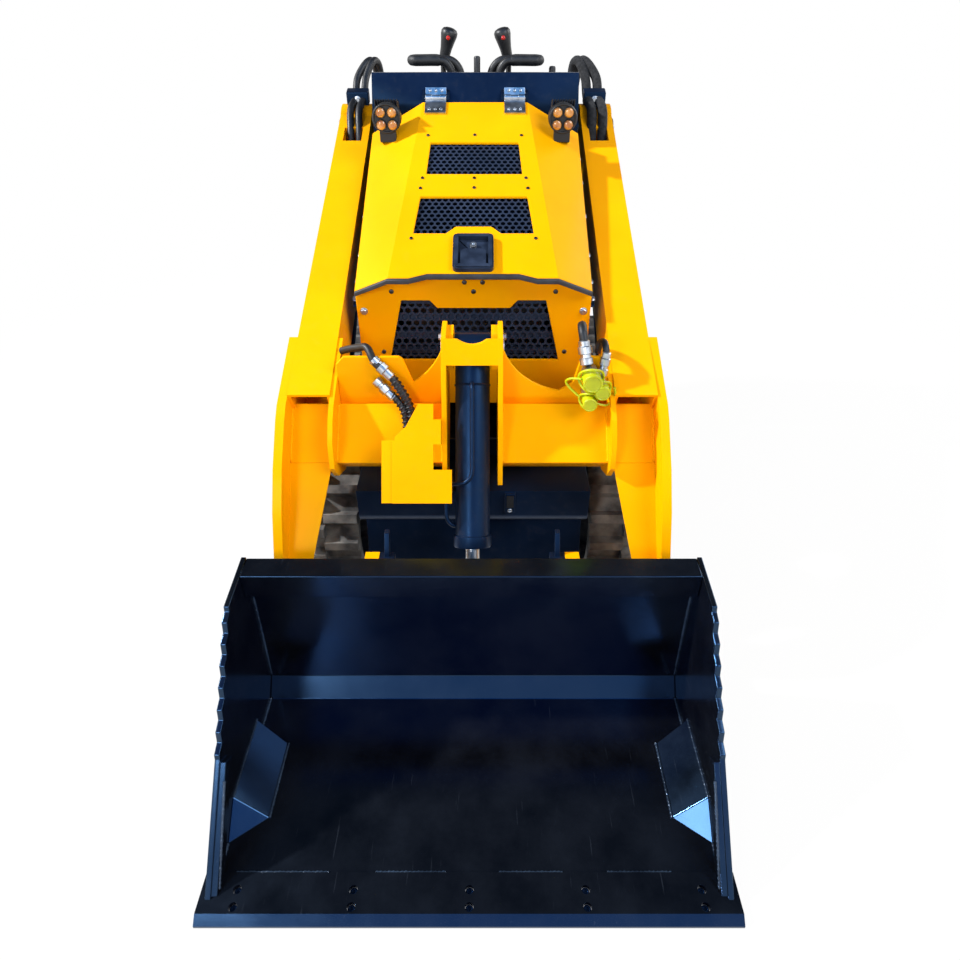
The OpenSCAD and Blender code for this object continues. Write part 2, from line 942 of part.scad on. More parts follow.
// round lamps with a lens for each of four lights and cooling fins behind
module work_lamps() {
    color(black)
        both()
            difference() {
                translate([260, 1650, 1190])
                    rotate([90, 0, 0]) {
                        difference() {
                            cylinder(r = 42.5, h = 30);
                            for (x = [-17, 17], z = [-17, 15])
                                translate([x, z, 24])
                                    cylinder(r = 14.5, h = 10);
                        }
                        translate([-8, -66, 2])
                            cube([16, 36, 20]);
                        for (x = [-32:8:32])
                            translate([x, -20, -38])
                                cube([2.5, 58, 40]);
                    }
                hood_sheet();
            }
}

// Draw one named sub-part, or all of them
placed() cutting_edge();
placed() bucket_shell();
placed() bucket_side_left();
placed() bucket_side_right();
placed() bucket_gussets();
placed() quick_attach();
placed() lock_levers();
placed() arm_left();
placed() arm_right();
placed() leg_left();
placed() leg_right();
placed() cross_beam();
placed() tilt_bracket();
placed() bulkhead_plates();
placed() hose_guard();
placed() couplers();
placed() coupler_caps();
placed() tool_pins();
placed() tilt_barrel();
placed() tilt_rod();
placed() lift_barrels();
placed() lift_rods();
placed() frame();
placed() towers();
placed() pivot_pins();
placed() hydraulic_tank();
placed() front_panel();
placed() front_grille();
placed() side_panels();
placed() engine_block();
placed() console();
placed() handlebars();
placed() joysticks();
placed() thigh_pad();
placed() platform();
placed() track_left();
placed() track_right();
placed() track_frames();
placed() idlers();
placed() sprockets();
placed() rollers();
placed() hood_panel();
placed() hood_grilles();
placed() hood_latch();
placed() hood_trim();
placed() hood_hinges();
placed() work_lamps();
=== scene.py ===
# %% [markdown]
# # A stand-on compact track loader
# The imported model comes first: it brings every CAD piece in its place, in metres, with the machine facing -Y.
# Places are then given as they are on the drawing: across, back from the bucket's lip and up, in millimetres.

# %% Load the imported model
import bpy
import bmesh
import json
import math
from mathutils import Matrix, Vector

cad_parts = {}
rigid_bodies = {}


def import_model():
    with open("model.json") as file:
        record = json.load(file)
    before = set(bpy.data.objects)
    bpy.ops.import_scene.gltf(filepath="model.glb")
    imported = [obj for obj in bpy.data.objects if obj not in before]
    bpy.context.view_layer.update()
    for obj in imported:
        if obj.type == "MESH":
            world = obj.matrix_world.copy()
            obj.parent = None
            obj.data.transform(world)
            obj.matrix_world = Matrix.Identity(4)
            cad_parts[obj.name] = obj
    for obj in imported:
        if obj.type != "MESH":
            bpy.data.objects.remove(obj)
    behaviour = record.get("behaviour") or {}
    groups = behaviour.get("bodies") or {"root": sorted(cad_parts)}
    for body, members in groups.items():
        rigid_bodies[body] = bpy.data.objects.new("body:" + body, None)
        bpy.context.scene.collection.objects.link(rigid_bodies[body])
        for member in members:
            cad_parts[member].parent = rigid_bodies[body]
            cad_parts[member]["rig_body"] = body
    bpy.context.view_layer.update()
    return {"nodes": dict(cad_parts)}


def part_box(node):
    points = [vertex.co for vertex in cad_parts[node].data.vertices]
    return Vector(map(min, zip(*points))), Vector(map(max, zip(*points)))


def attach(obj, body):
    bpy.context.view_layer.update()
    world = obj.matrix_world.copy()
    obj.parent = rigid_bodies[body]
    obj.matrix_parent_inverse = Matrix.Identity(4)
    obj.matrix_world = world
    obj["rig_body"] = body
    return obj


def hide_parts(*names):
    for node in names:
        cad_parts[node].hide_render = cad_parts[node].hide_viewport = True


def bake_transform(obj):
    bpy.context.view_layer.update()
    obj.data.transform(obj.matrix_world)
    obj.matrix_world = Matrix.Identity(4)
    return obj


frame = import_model()
nodes = frame["nodes"]
UP = Vector((0, 0, 1))
FORWARD = Vector((0, -1, 0))
LIP_TO_MIDDLE = 1210
print("CAD nodes:", len(nodes))


def at(x, s, z):
    """A place on the drawing, in the model's frame."""
    return Vector((x / 1000, (s - LIP_TO_MIDDLE) / 1000, z / 1000))


# %% [markdown]
# ## Camera
# The photograph looks down on the bucket from the front. A wide lens close by gives the strong taper of the
# arms, so the lens and the place matter more than the angle.

# %% Camera
CAMERA_PLACE = at(33, -568, 1555)
CAMERA_DOWN = 34.16  # degrees below level
CAMERA_LENS, CAMERA_SENSOR = 25.72, 36  # millimetres
CAMERA_SHIFT = (-0.0062, -0.0479)  # shares of the picture's width
bpy.ops.object.select_all(action="DESELECT")
bpy.ops.object.camera_add(location=CAMERA_PLACE, rotation=(math.radians(90 - CAMERA_DOWN), 0, 0))
camera = bpy.context.object
camera.data.sensor_width = CAMERA_SENSOR
camera.data.lens = CAMERA_LENS
camera.data.shift_x, camera.data.shift_y = CAMERA_SHIFT
camera.data.clip_start = 0.05
bpy.context.scene.camera = camera
bpy.context.scene.view_settings.view_transform = "Standard"
print("camera at", tuple(round(v, 3) for v in camera.location))

# %% [markdown]
# ## Colours and nodes
# One function turns a hex colour to the linear values that shaders want. One function adds any node, sets what
# it is given and links its inputs, so each finish reads as a list of what it is made of.

# %% Small helpers for materials
def linear(code):
    """An sRGB hex colour as linear RGBA."""
    parts = [int(code[i:i + 2], 16) / 255 for i in (1, 3, 5)]
    return [c / 12.92 if c <= 0.04045 else ((c + 0.055) / 1.055) ** 2.4 for c in parts] + [1.0]


def add(tree, kind, links=None, values=None, **settings):
    """Adds a node, sets its own settings and its inputs' values, and links its inputs."""
    new = tree.nodes.new("ShaderNode" + kind)
    for name, value in settings.items():
        setattr(new, name, value)
    for name, value in (values or {}).items():
        new.inputs[name].default_value = value
    for name, output in (links or {}).items():
        tree.links.new(output, new.inputs[name])
    return new


def per_metre(size):
    """The texture scale that gives features of a size in millimetres."""
    return 1000 / size


def new_finish(name, **sockets):
    """A new material, with the shader's constant sockets set."""
    finish = bpy.data.materials.new(name)
    finish.use_nodes = True
    shader = finish.node_tree.nodes["Principled BSDF"]
    for socket, value in sockets.items():
        shader.inputs[socket.replace("_", " ")].default_value = value
    return finish, finish.node_tree, shader


def tones(tree, factor, dark, light, low=0.35, high=0.65):
    """A ramp from one colour to another over part of a pattern."""
    ramp = add(tree, "ValToRGB", {"Fac": factor})
    ramp.color_ramp.elements[0].position = low
    ramp.color_ramp.elements[1].position = high
    ramp.color_ramp.elements[0].color = linear(dark)
    ramp.color_ramp.elements[1].color = linear(light)
    return ramp.outputs["Color"]


print("material helpers ready")


# %% [markdown]
# ## Paint
# The arms and the hood are powder coated: a thick, slightly pebbled skin with a soft gloss. Two noises give it
# the slow drift of tone of a baked coat and the pebble, which is drawn coarser than life so that it shows.

# %% Powder coats
def powder_coat(name, dark, light, rough, gloss, shine, tint, dust):
    """Baked powder: a pebbled skin with a slow drift of tone and a little dust."""
    finish, tree, shader = new_finish(name, IOR=1.5, Coat_Weight=gloss, Coat_Roughness=0.18,
                                      Specular_IOR_Level=shine, Specular_Tint=linear(tint))
    coords = add(tree, "TexCoord").outputs["Object"]
    drift = add(tree, "TexNoise", {"Vector": coords}, {"Scale": per_metre(260), "Detail": 4.0})
    grime = add(tree, "TexNoise", {"Vector": coords}, {"Scale": per_metre(22), "Detail": 6.0, "Roughness": 0.65})
    pebble = add(tree, "TexNoise", {"Vector": coords}, {"Scale": per_metre(5), "Detail": 1.0})
    colour = tones(tree, drift.outputs["Fac"], dark, light, 0.3, 0.7)
    dusty = add(tree, "MapRange", {"Value": grime.outputs["Fac"]},
                {"From Min": 0.55, "From Max": 0.8, "To Min": 0.0, "To Max": dust})
    tinted = add(tree, "Mix", {0: dusty.outputs["Result"], 6: colour}, {7: linear("#8A7A5C")}, data_type="RGBA")
    sheen = add(tree, "MapRange", {"Value": grime.outputs["Fac"]},
                {"From Min": 0.3, "From Max": 0.7, "To Min": rough - 0.06, "To Max": rough + 0.08})
    bump = add(tree, "Bump", {"Height": pebble.outputs["Fac"]}, {"Strength": 0.06, "Distance": 0.0006})
    tree.links.new(tinted.outputs[2], shader.inputs["Base Color"])
    tree.links.new(sheen.outputs["Result"], shader.inputs["Roughness"])
    tree.links.new(bump.outputs["Normal"], shader.inputs["Normal"])
    return finish


yellow_coat = powder_coat("yellow_powder_coat", "#FFAA00", "#FFB600", rough=0.48, gloss=0.02, shine=0.12,
                          tint="#FFD070", dust=0.05)
# The black coat's navy base colours are painted sky reflection, and its blue specular tint paints sky blue into its
# reflections.
black_coat = powder_coat("satin_black_powder_coat", "#081120", "#0E1C33", rough=0.36, gloss=0.0, shine=0.45,
                         tint="#6CAAF6", dust=0.04)
grille_coat = powder_coat("slate_powder_coat", "#1E2738", "#2E3A52", rough=0.45, gloss=0.0, shine=0.40,
                          tint="#A9BDE0", dust=0.05)
print("powder coats:", yellow_coat.name, black_coat.name, grille_coat.name)

# %% [markdown]
# ## Enamel on the bucket
# The bucket is dipped in black enamel, glossier than the coat on the frame. Loads drag fine scratches through
# it along the floor, which is a noise stretched from front to back.

# %% Black enamel
def enamel(name, dark, light, tint, low, high):
    """Dipped enamel: glossy, with clouds in the gloss and fine scratches."""
    finish, tree, shader = new_finish(name, IOR=1.52, Specular_IOR_Level=1.0, Specular_Tint=linear(tint))
    coords = add(tree, "TexCoord").outputs["Object"]
    stretched = add(tree, "Mapping", {"Vector": coords}, {"Rotation": (0, 0, 0.5), "Scale": (1.0, 0.06, 1.0)})
    scratch = add(tree, "TexNoise", {"Vector": stretched.outputs["Vector"]},
                  {"Scale": per_metre(7), "Detail": 3.0})
    cloud = add(tree, "TexNoise", {"Vector": coords}, {"Scale": per_metre(120), "Detail": 6.0, "Roughness": 0.6})
    line = add(tree, "MapRange", {"Value": scratch.outputs["Fac"]},
               {"From Min": 0.68, "From Max": 0.74, "To Min": 0.0, "To Max": 0.25})
    base = tones(tree, cloud.outputs["Fac"], dark, light)
    worn = add(tree, "Mix", {0: line.outputs["Result"], 6: base}, {7: linear("#3A404A")}, data_type="RGBA")
    rough = add(tree, "MapRange", {"Value": cloud.outputs["Fac"]},
                {"From Min": 0.3, "From Max": 0.7, "To Min": low, "To Max": high})
    bump = add(tree, "Bump", {"Height": cloud.outputs["Fac"]}, {"Strength": 0.05, "Distance": 0.002})
    tree.links.new(worn.outputs[2], shader.inputs["Base Color"])
    tree.links.new(rough.outputs["Result"], shader.inputs["Roughness"])
    tree.links.new(bump.outputs["Normal"], shader.inputs["Normal"])
    return finish


# The enamel's blue specular tint paints sky blue into its reflections.
bucket_enamel = enamel("black_enamel", "#060607", "#101114", tint="#80BCFF", low=0.15, high=0.23)
# a weld under enamel keeps its ripples, which catch the sky; their lighter blue-grey base colour and pale specular
# tint are painted highlight on top of that
weld_painted_highlight = enamel("enamelled_weld_painted_highlight", "#141B26", "#303E50", tint="#B9CBE6", low=0.14, high=0.26)
print("enamels:", bucket_enamel.name, weld_painted_highlight.name)

# %% [markdown]
# ## Bare and plated steel
# Hinges, fittings and bolts are zinc plated: pale, with a fine crystal bloom. Rods are hard chrome, almost a
# mirror. Both are metals, so they keep the default IOR and take their look from colour and roughness.

# %% Plated steel
def plated(name, dark, light, low, high, grain):
    """Bare or plated metal, with a bloom in its tone and its gloss."""
    finish, tree, shader = new_finish(name, Metallic=1.0)
    coords = add(tree, "TexCoord").outputs["Object"]
    bloom = add(tree, "TexNoise", {"Vector": coords}, {"Scale": per_metre(grain), "Detail": 5.0})
    rough = add(tree, "MapRange", {"Value": bloom.outputs["Fac"]},
                {"From Min": 0.3, "From Max": 0.7, "To Min": low, "To Max": high})
    tree.links.new(tones(tree, bloom.outputs["Fac"], dark, light), shader.inputs["Base Color"])
    tree.links.new(rough.outputs["Result"], shader.inputs["Roughness"])
    return finish


zinc = plated("zinc_plated_steel", "#A9AFB6", "#CDD2D8", low=0.25, high=0.40, grain=30)
chrome = plated("hard_chrome", "#D8DCE0", "#EEF0F2", low=0.26, high=0.36, grain=40)
dark_steel = plated("oiled_steel", "#3B3E43", "#5C6066", low=0.35, high=0.55, grain=14)
print("metals:", zinc.name, chrome.name, dark_steel.name)

# %% [markdown]
# ## Rubber, plastic and lenses
# Track rubber is matt and greyed by dust in its hollows; hose rubber is smoother. Moulded plastics differ by
# colour and by how matt the tool left them.

# %% Rubber and plastics
def moulded(name, dark, light, rough, grain, depth, **sockets):
    """Rubber or plastic: clouds of tone and gloss over fine pores."""
    finish, tree, shader = new_finish(name, **sockets)
    coords = add(tree, "TexCoord").outputs["Object"]
    cloud = add(tree, "TexNoise", {"Vector": coords}, {"Scale": per_metre(grain * 9), "Detail": 5.0})
    pores = add(tree, "TexNoise", {"Vector": coords}, {"Scale": per_metre(grain), "Detail": 2.0})
    spread = add(tree, "MapRange", {"Value": cloud.outputs["Fac"]},
                 {"From Min": 0.3, "From Max": 0.7, "To Min": rough - 0.07, "To Max": rough + 0.07})
    bump = add(tree, "Bump", {"Height": pores.outputs["Fac"]}, {"Strength": depth, "Distance": 0.001})
    tree.links.new(tones(tree, cloud.outputs["Fac"], dark, light), shader.inputs["Base Color"])
    tree.links.new(spread.outputs["Result"], shader.inputs["Roughness"])
    tree.links.new(bump.outputs["Normal"], shader.inputs["Normal"])
    return finish


track_rubber = moulded("track_rubber", "#333334", "#7C7A76", rough=0.80, grain=6, depth=0.5)
hose_rubber = moulded("hose_rubber", "#0B0C0E", "#17181B", rough=0.50, grain=4, depth=0.2)
black_plastic = moulded("black_abs", "#0A0B0D", "#15171B", rough=0.45, grain=4, depth=0.15)
slate_plastic = moulded("slate_nylon", "#1A2436", "#28354C", rough=0.38, grain=4, depth=0.1)
trim_rubber = moulded("edge_trim_rubber", "#1D1F25", "#31343C", rough=0.55, grain=4, depth=0.2)
cap_plastic = moulded("lime_vinyl", "#A6AF00", "#C4CD0C", rough=0.35, grain=6, depth=0.1,
                      Subsurface_Weight=0.1)
red_plastic = moulded("red_button", "#B0120A", "#D81E12", rough=0.30, grain=6, depth=0.05)
amber_lens = moulded("amber_lens", "#A8641C", "#DCA04C", rough=0.15, grain=3, depth=0.05,
                     Coat_Weight=1.0, Coat_Roughness=0.03)
pad_vinyl = moulded("padded_vinyl", "#101113", "#1E2023", rough=0.55, grain=3, depth=0.35)
print("materials so far:", len(bpy.data.materials))

# %% [markdown]
# ## Working by hand
# Each new piece starts as a primitive and is shaped in edit mode. These helpers do what a hand does over and
# over: clear the selection, pick faces by a test, and finish a piece with its name, coat and body.

# %% Helpers for modelling
CORNERS = ((0, 0), (1, 0), (1, 1), (0, 1))


def alone(piece):
    """Makes a piece the only one selected."""
    bpy.ops.object.select_all(action="DESELECT")
    piece.select_set(True)
    bpy.context.view_layer.objects.active = piece


def fresh(adder, **settings):
    """A new primitive or lamp, alone in the selection."""
    bpy.ops.object.select_all(action="DESELECT")
    adder(**settings)
    return bpy.context.object


def pick(piece, test):
    """Goes into edit mode with only the faces that pass the test selected."""
    alone(piece)
    bpy.ops.object.mode_set(mode="EDIT")
    bpy.ops.mesh.select_mode(type="FACE")
    bpy.ops.mesh.select_all(action="DESELECT")
    mesh = bmesh.from_edit_mesh(piece.data)
    for face in mesh.faces:
        face.select_set(test(face))
    bmesh.update_edit_mesh(piece.data)


def outwards(piece):
    """Merges doubled points and turns all faces to the outside."""
    alone(piece)
    bpy.ops.object.mode_set(mode="EDIT")
    bpy.ops.mesh.select_all(action="SELECT")
    bpy.ops.mesh.remove_doubles(threshold=0.00002)
    bpy.ops.mesh.normals_make_consistent(inside=False)
    bpy.ops.object.mode_set(mode="OBJECT")


def modify(piece, kind, **settings):
    """Adds a modifier, sets it and applies it."""
    alone(piece)
    modifier = piece.modifiers.new(kind.lower(), kind)
    for name, value in settings.items():
        setattr(modifier, name, value)
    bpy.ops.object.modifier_apply(modifier=modifier.name)


def finished(piece, name, body, coat, smooth=35, soften=0.0, stands_for=()):
    """Names, places, softens and coats a piece, and lets it ride on its body."""
    alone(piece)
    bpy.ops.object.transform_apply(location=True, rotation=True, scale=True)
    if soften:
        modify(piece, "BEVEL", width=soften / 1000, segments=2, limit_method="ANGLE",
               angle_limit=math.radians(min(38, smooth)))
    piece.name = name
    piece.data.name = name
    piece.data.materials.clear()
    piece.data.materials.append(coat)
    alone(piece)
    bpy.ops.object.shade_smooth_by_angle(angle=math.radians(smooth))
    if soften:
        modify(piece, "WEIGHTED_NORMAL", keep_sharp=True, weight=100)
    if stands_for:
        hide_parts(*stands_for)
    if body:
        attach(piece, body)
    return piece


def plate(outline, depth):
    """A flat piece: a circle whose corners are moved to an outline, then extruded by a vector."""
    piece = fresh(bpy.ops.mesh.primitive_circle_add, vertices=len(outline), fill_type="NGON")
    for corner, place in zip(piece.data.vertices, outline):
        corner.co = place
    pick(piece, lambda face: True)
    bpy.ops.mesh.extrude_region_move(TRANSFORM_OT_translate={"value": depth})
    bpy.ops.object.mode_set(mode="OBJECT")
    outwards(piece)
    return piece


def stood(place, axis):
    """The matrix that stands a piece on a place, with its Z along an axis."""
    return Matrix.Translation(place) @ UP.rotation_difference(Vector(axis)).to_matrix().to_4x4()


def turned(profile, place, axis, around=24):
    """A round piece: a circle extruded and scaled ring by ring, then stood along an axis. Sizes in millimetres."""
    radius, height = profile[0]
    piece = fresh(bpy.ops.mesh.primitive_circle_add, vertices=around, radius=radius / 1000, fill_type="NGON",
                  location=(0, 0, 0))
    pick(piece, lambda face: True)
    bpy.ops.transform.translate(value=(0, 0, height / 1000))
    for wide, high in profile[1:]:
        bpy.ops.mesh.extrude_region_move(TRANSFORM_OT_translate={"value": (0, 0, (high - height) / 1000)})
        bpy.ops.transform.resize(value=(wide / radius, wide / radius, 1), center_override=(0, 0, high / 1000))
        radius, height = wide, high
    bpy.ops.object.mode_set(mode="OBJECT")
    outwards(piece)
    piece.data.transform(stood(place, axis))
    return piece


def joined(pieces):
    """Pieces joined to the first of them."""
    bpy.ops.object.select_all(action="DESELECT")
    for piece in pieces:
        piece.select_set(True)
    bpy.context.view_layer.objects.active = pieces[0]
    bpy.ops.object.join()
    return bpy.context.object


def twin_of(piece, matrix):
    """A copy of a piece with its own mesh, moved by a matrix."""
    twin = piece.copy()
    twin.data = piece.data.copy()
    twin.data.transform(matrix)
    bpy.context.scene.collection.objects.link(twin)
    return twin


def copies(model, matrices):
    """Copies of a model at several places, joined to one piece. The model goes."""
    made = [twin_of(model, matrix) for matrix in matrices]
    bpy.data.objects.remove(model)
    return joined(made)


def both_sides(piece):
    """The piece and its mirror image across the machine, as one piece."""
    twin = twin_of(piece, Matrix.Scale(-1, 4, (1, 0, 0)))
    outwards(twin)
    return joined([piece, twin])


def smooth_run(points, steps=8):
    """Points along a smooth curve that passes through the given points."""
    path = [points[0]] + list(points) + [points[-1]]
    run = []
    for a, b, c, d in zip(path, path[1:], path[2:], path[3:]):
        for i in range(steps):
            t = i / steps
            run.append(0.5 * (2 * b + (c - a) * t + (2 * a - 5 * b + 4 * c - d) * t * t
                              + (3 * b - a - 3 * c + d) * t ** 3))
    return run + [points[-1]]


def tube(run, radius, fine=3, swell=None):
    """A round tube along a run of points, made as a curve with a bevel and turned to a mesh."""
    curve = bpy.data.curves.new("run", "CURVE")
    curve.dimensions = "3D"
    line = curve.splines.new("POLY")
    line.points.add(len(run) - 1)
    for number, (point, place) in enumerate(zip(line.points, run)):
        point.co = (*place, 1)
        point.radius = swell[number] if swell else 1
    curve.bevel_depth = radius / 1000
    curve.bevel_resolution = fine
    curve.use_fill_caps = True
    piece = bpy.data.objects.new("run", curve)
    bpy.context.scene.collection.objects.link(piece)
    alone(piece)
    bpy.ops.object.convert(target="MESH")
    piece = bpy.context.object
    outwards(piece)
    return piece


COIL_STEPS = 14


def wound(run, radius, pitch):
    """Points of a helix round a run, for a spiral wrap. Radius and pitch in millimetres."""
    side = UP.cross(run[1] - run[0]).normalized()
    coil = []
    gone = 0.0
    for here, there in zip(run, run[1:]):
        ahead = (there - here).normalized()
        side = (side - ahead * side.dot(ahead)).normalized()
        up = ahead.cross(side)
        length = (there - here).length
        parts = max(2, int(length * 1000 / pitch * COIL_STEPS))
        for i in range(parts):
            turn = 2 * math.pi * (gone + length * i / parts) * 1000 / pitch
            coil.append(here.lerp(there, i / parts) + (side * math.cos(turn) + up * math.sin(turn)) * radius / 1000)
        gone += length
    return coil


print("modelling helpers ready")


# %% [markdown]
# ## Carried-over pieces
# A folded or welded plate never has a razor edge. A copy of each CAD piece gets its loose triangles merged, its
# flat faces dissolved to one, and a small bevel that catches the light; the copy then stands for the CAD piece.

# %% Softened copies of the plate work
def softened(names, coat, width, crease=32):
    """Copies CAD pieces with merged faces and rounded edges, which then stand for them."""
    for name in names:
        piece = nodes[name].copy()
        piece.data = nodes[name].data.copy()
        piece.parent = None
        for key in list(piece.keys()):
            del piece[key]
        bpy.context.scene.collection.objects.link(piece)
        alone(piece)
        bpy.ops.object.mode_set(mode="EDIT")
        bpy.ops.mesh.select_all(action="SELECT")
        bpy.ops.mesh.remove_doubles(threshold=0.00005)
        bpy.ops.mesh.dissolve_limited(angle_limit=math.radians(0.6))
        bpy.ops.object.mode_set(mode="OBJECT")
        body = nodes[name]["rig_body"]
        finished(piece, name + "_finished", body, coat, crease, width, [name])


softened(["arm_left", "arm_right", "leg_left", "leg_right", "cross_beam", "tilt_bracket", "bulkhead_plates",
          "hose_guard", "front_panel"], yellow_coat, 2.5)
softened(["hood_panel"], yellow_coat, 4.0, 16)
softened(["bucket_shell", "bucket_side_left", "bucket_side_right", "bucket_gussets", "cutting_edge"],
         bucket_enamel, 2.0)
softened(["quick_attach", "frame", "towers", "hydraulic_tank", "side_panels", "console", "platform",
          "track_frames"], black_coat, 2.5)
softened(["hood_hinges", "tool_pins", "pivot_pins"], zinc, 1.2)
softened(["lock_levers"], black_coat, 1.5)
softened(["tilt_barrel", "lift_barrels", "idlers", "sprockets", "rollers"], black_coat, 2.0)
softened(["tilt_rod", "lift_rods"], chrome, 1.0)
softened(["track_left", "track_right"], track_rubber, 3.0)
softened(["engine_block"], dark_steel, 6.0)
softened(["hood_trim"], trim_rubber, 3.0)
print("softened copies made")

# %% [markdown]
# ## Hood grilles
# Air leaves through two windows in the hood, closed from below by sheet punched with hexagons. One hexagon is
# inset and its middle deleted, which leaves a ring; two arrays lay the rings edge to edge, and a bisect on
# each side trims the sheet. Punching real holes keeps the engine bay dark behind them.

# %% Punched sheet
HOOD_SLOPE = math.atan2(313, 650)
HOOD_FRONT = at(0, 1100, 903)
WINDOW_H, SHEET_DROP = 164, 9.5
HOOD_PITCH, HOOD_WEB, HOOD_SHEET_T = 17.6, 5, 2
on_hood = Matrix.Translation(HOOD_FRONT) @ Matrix.Rotation(HOOD_SLOPE, 4, "X")


def punched(width, height, pitch, web, thick):
    """A sheet of hexagonal holes round the origin, in millimetres."""
    radius = pitch / math.sqrt(3)
    piece = fresh(bpy.ops.mesh.primitive_circle_add, vertices=6, radius=radius / 1000, fill_type="NGON")
    pick(piece, lambda face: True)
    bpy.ops.mesh.inset(thickness=web / 2000)
    bpy.ops.mesh.delete(type="FACE")
    bpy.ops.object.mode_set(mode="OBJECT")
    across = int(width / pitch) + 2
    rows = int(height / (3 * radius)) + 2
    piece = joined([piece, twin_of(piece, Matrix.Translation((pitch / 2000, 1.5 * radius / 1000, 0)))])
    modify(piece, "ARRAY", count=across, use_relative_offset=False, use_constant_offset=True,
           constant_offset_displace=(pitch / 1000, 0, 0))
    modify(piece, "ARRAY", count=rows, use_relative_offset=False, use_constant_offset=True,
           constant_offset_displace=(0, 3 * radius / 1000, 0))
    piece.data.transform(Matrix.Translation((-across * pitch / 2000, -rows * 1.5 * radius / 1000, 0)))
    outwards(piece)
    for way in ((1, 0, 0), (-1, 0, 0), (0, 1, 0), (0, -1, 0)):
        edge = Vector((way[0] * width / 2000, way[1] * height / 2000, 0))
        pick(piece, lambda face: True)
        bpy.ops.mesh.bisect(plane_co=edge, plane_no=way, clear_outer=True)
        bpy.ops.object.mode_set(mode="OBJECT")
    modify(piece, "SOLIDIFY", thickness=thick / 1000, offset=0)
    return piece


sheets = []
for middle, width in ((235, 334), (470, 290)):
    sheet = punched(width, WINDOW_H, HOOD_PITCH, HOOD_WEB, HOOD_SHEET_T)
    sheet.data.transform(on_hood @ Matrix.Translation((0, middle / 1000, -SHEET_DROP / 1000)))
    sheets.append(sheet)
grilles = finished(joined(sheets), "hood_punched_sheets", "hood", grille_coat, 30, 0, ["hood_grilles"])
print("hood grille faces:", len(grilles.data.polygons))

# %% [markdown]
# ## Front grille
# The window below the hood has two layers: a punched sheet in front and dark ribs behind it, which show as the
# bands between the rows of holes.

# %% Front grille
RIB_X, RIB_HALF = 246, 9
front_sheet = punched(width=496, height=200, pitch=21, web=6, thick=2.5)
front_sheet.data.transform(Matrix.Translation(at(0, 1162, 732)) @ Matrix.Rotation(math.radians(90), 4, "X"))
ribs = []
for z in (664, 714, 764, 814):
    ribs.append(plate([at(-RIB_X, 1166, z - RIB_HALF), at(RIB_X, 1166, z - RIB_HALF),
                       at(RIB_X, 1170, z + RIB_HALF), at(-RIB_X, 1170, z + RIB_HALF)], (0, 0.008, 0)))
finished(joined([front_sheet] + ribs), "front_punched_grille", "chassis", grille_coat, 30, 0, ["front_grille"])
print("ribs behind the front grille:", len(ribs))

# %% [markdown]
# ## Latch
# A flush paddle latch: a pressed cup with rounded corners, a paddle that a hand pulls up, and a key barrel
# above it. The cup is a cube whose upright edges are rounded and whose top is inset and pushed down.

# %% Hood latch
CUP_SIZE = (0.106, 0.124, 0.014)
CUP_MIDDLE = (0, 0.082, 0.007)
CUP_CORNER_R = 0.012
PADDLE = ((-0.033, 0.034), (0.033, 0.034), (0.033, 0.082), (0.020, 0.088), (-0.020, 0.088), (-0.033, 0.082))
cup = fresh(bpy.ops.mesh.primitive_cube_add, size=1, location=(0, 0, 0))
cup.data.transform(Matrix.Translation(CUP_MIDDLE) @ Matrix.Diagonal((*CUP_SIZE, 1)))
alone(cup)
bpy.ops.object.mode_set(mode="EDIT")
bpy.ops.mesh.select_mode(type="EDGE")
bpy.ops.mesh.select_all(action="DESELECT")
cup_mesh = bmesh.from_edit_mesh(cup.data)
for edge in cup_mesh.edges:
    along = edge.verts[0].co - edge.verts[1].co
    edge.select_set(abs(along.z) > CUP_SIZE[2] / 2)
bmesh.update_edit_mesh(cup.data)
bpy.ops.mesh.bevel(offset=CUP_CORNER_R, segments=5, affect="EDGES")
bpy.ops.object.mode_set(mode="OBJECT")
pick(cup, lambda face: face.normal.z > 0.9)
bpy.ops.mesh.inset(thickness=0.004)
bpy.ops.mesh.extrude_region_move(TRANSFORM_OT_translate={"value": (0, 0, 0.004)})
bpy.ops.mesh.inset(thickness=0.010)
bpy.ops.mesh.extrude_region_move(TRANSFORM_OT_translate={"value": (0, 0, -0.014)})
bpy.ops.object.mode_set(mode="OBJECT")
paddle = plate([Vector((x, y, 0.003)) for x, y in PADDLE], (0, 0, 0.013))
cup = joined([cup, paddle])
cup.data.transform(on_hood)
finished(cup, "latch_cup", "hood", slate_plastic, 40, 1.2, ["hood_latch"])
key = turned([(9, 0), (9, 9), (8, 10.5), (4, 10.5), (3.4, 8)], on_hood @ Vector((0, 0.106, 0.003)),
             on_hood.to_3x3() @ UP)
finished(key, "latch_key_barrel", "hood", zinc)
print("latch made")

# %% [markdown]
# ## Work lamps
# Two LED lamps stand on the hood's shoulders. Each is a cast drum with cooling fins behind and four lenses in
# front; the warm coating of the lenses makes them look amber when they are off.

# %% Work lamps
LAMP_X, LAMP_Z = 260, 1190
LENS_S = 1622
LENS_SPOTS = ((-17, 16), (17, 16), (-17, -18), (17, -18))
FIN, FIN_T = ((1655, -28), (1690, -20), (1690, 38), (1640, 50)), 2.5
DRUM = [(30, -18), (38, -16), (42, -6), (42.5, 0), (42.5, 25), (40.5, 30), (36, 30), (35, 27)]
LENS = [(14, -4), (14, 1), (11.5, 3.5), (7, 5), (2, 5.5)]
BEZEL = [(16.5, -3), (16.5, 2.5), (15.8, 4), (14.6, 4), (14.2, 1), (14.2, -3)]
drum = turned(DRUM, at(LAMP_X, 1650, LAMP_Z), FORWARD, 36)
fins = []
for dx in range(-32, 33, 8):
    fins.append(plate([at(LAMP_X + dx, s, LAMP_Z + dz) for s, dz in FIN], (FIN_T / 1000, 0, 0)))
foot = plate([at(236, s, z) for s, z in ((1628, 1124), (1648, 1118), (1648, 1160), (1628, 1160))], (0.048, 0, 0))
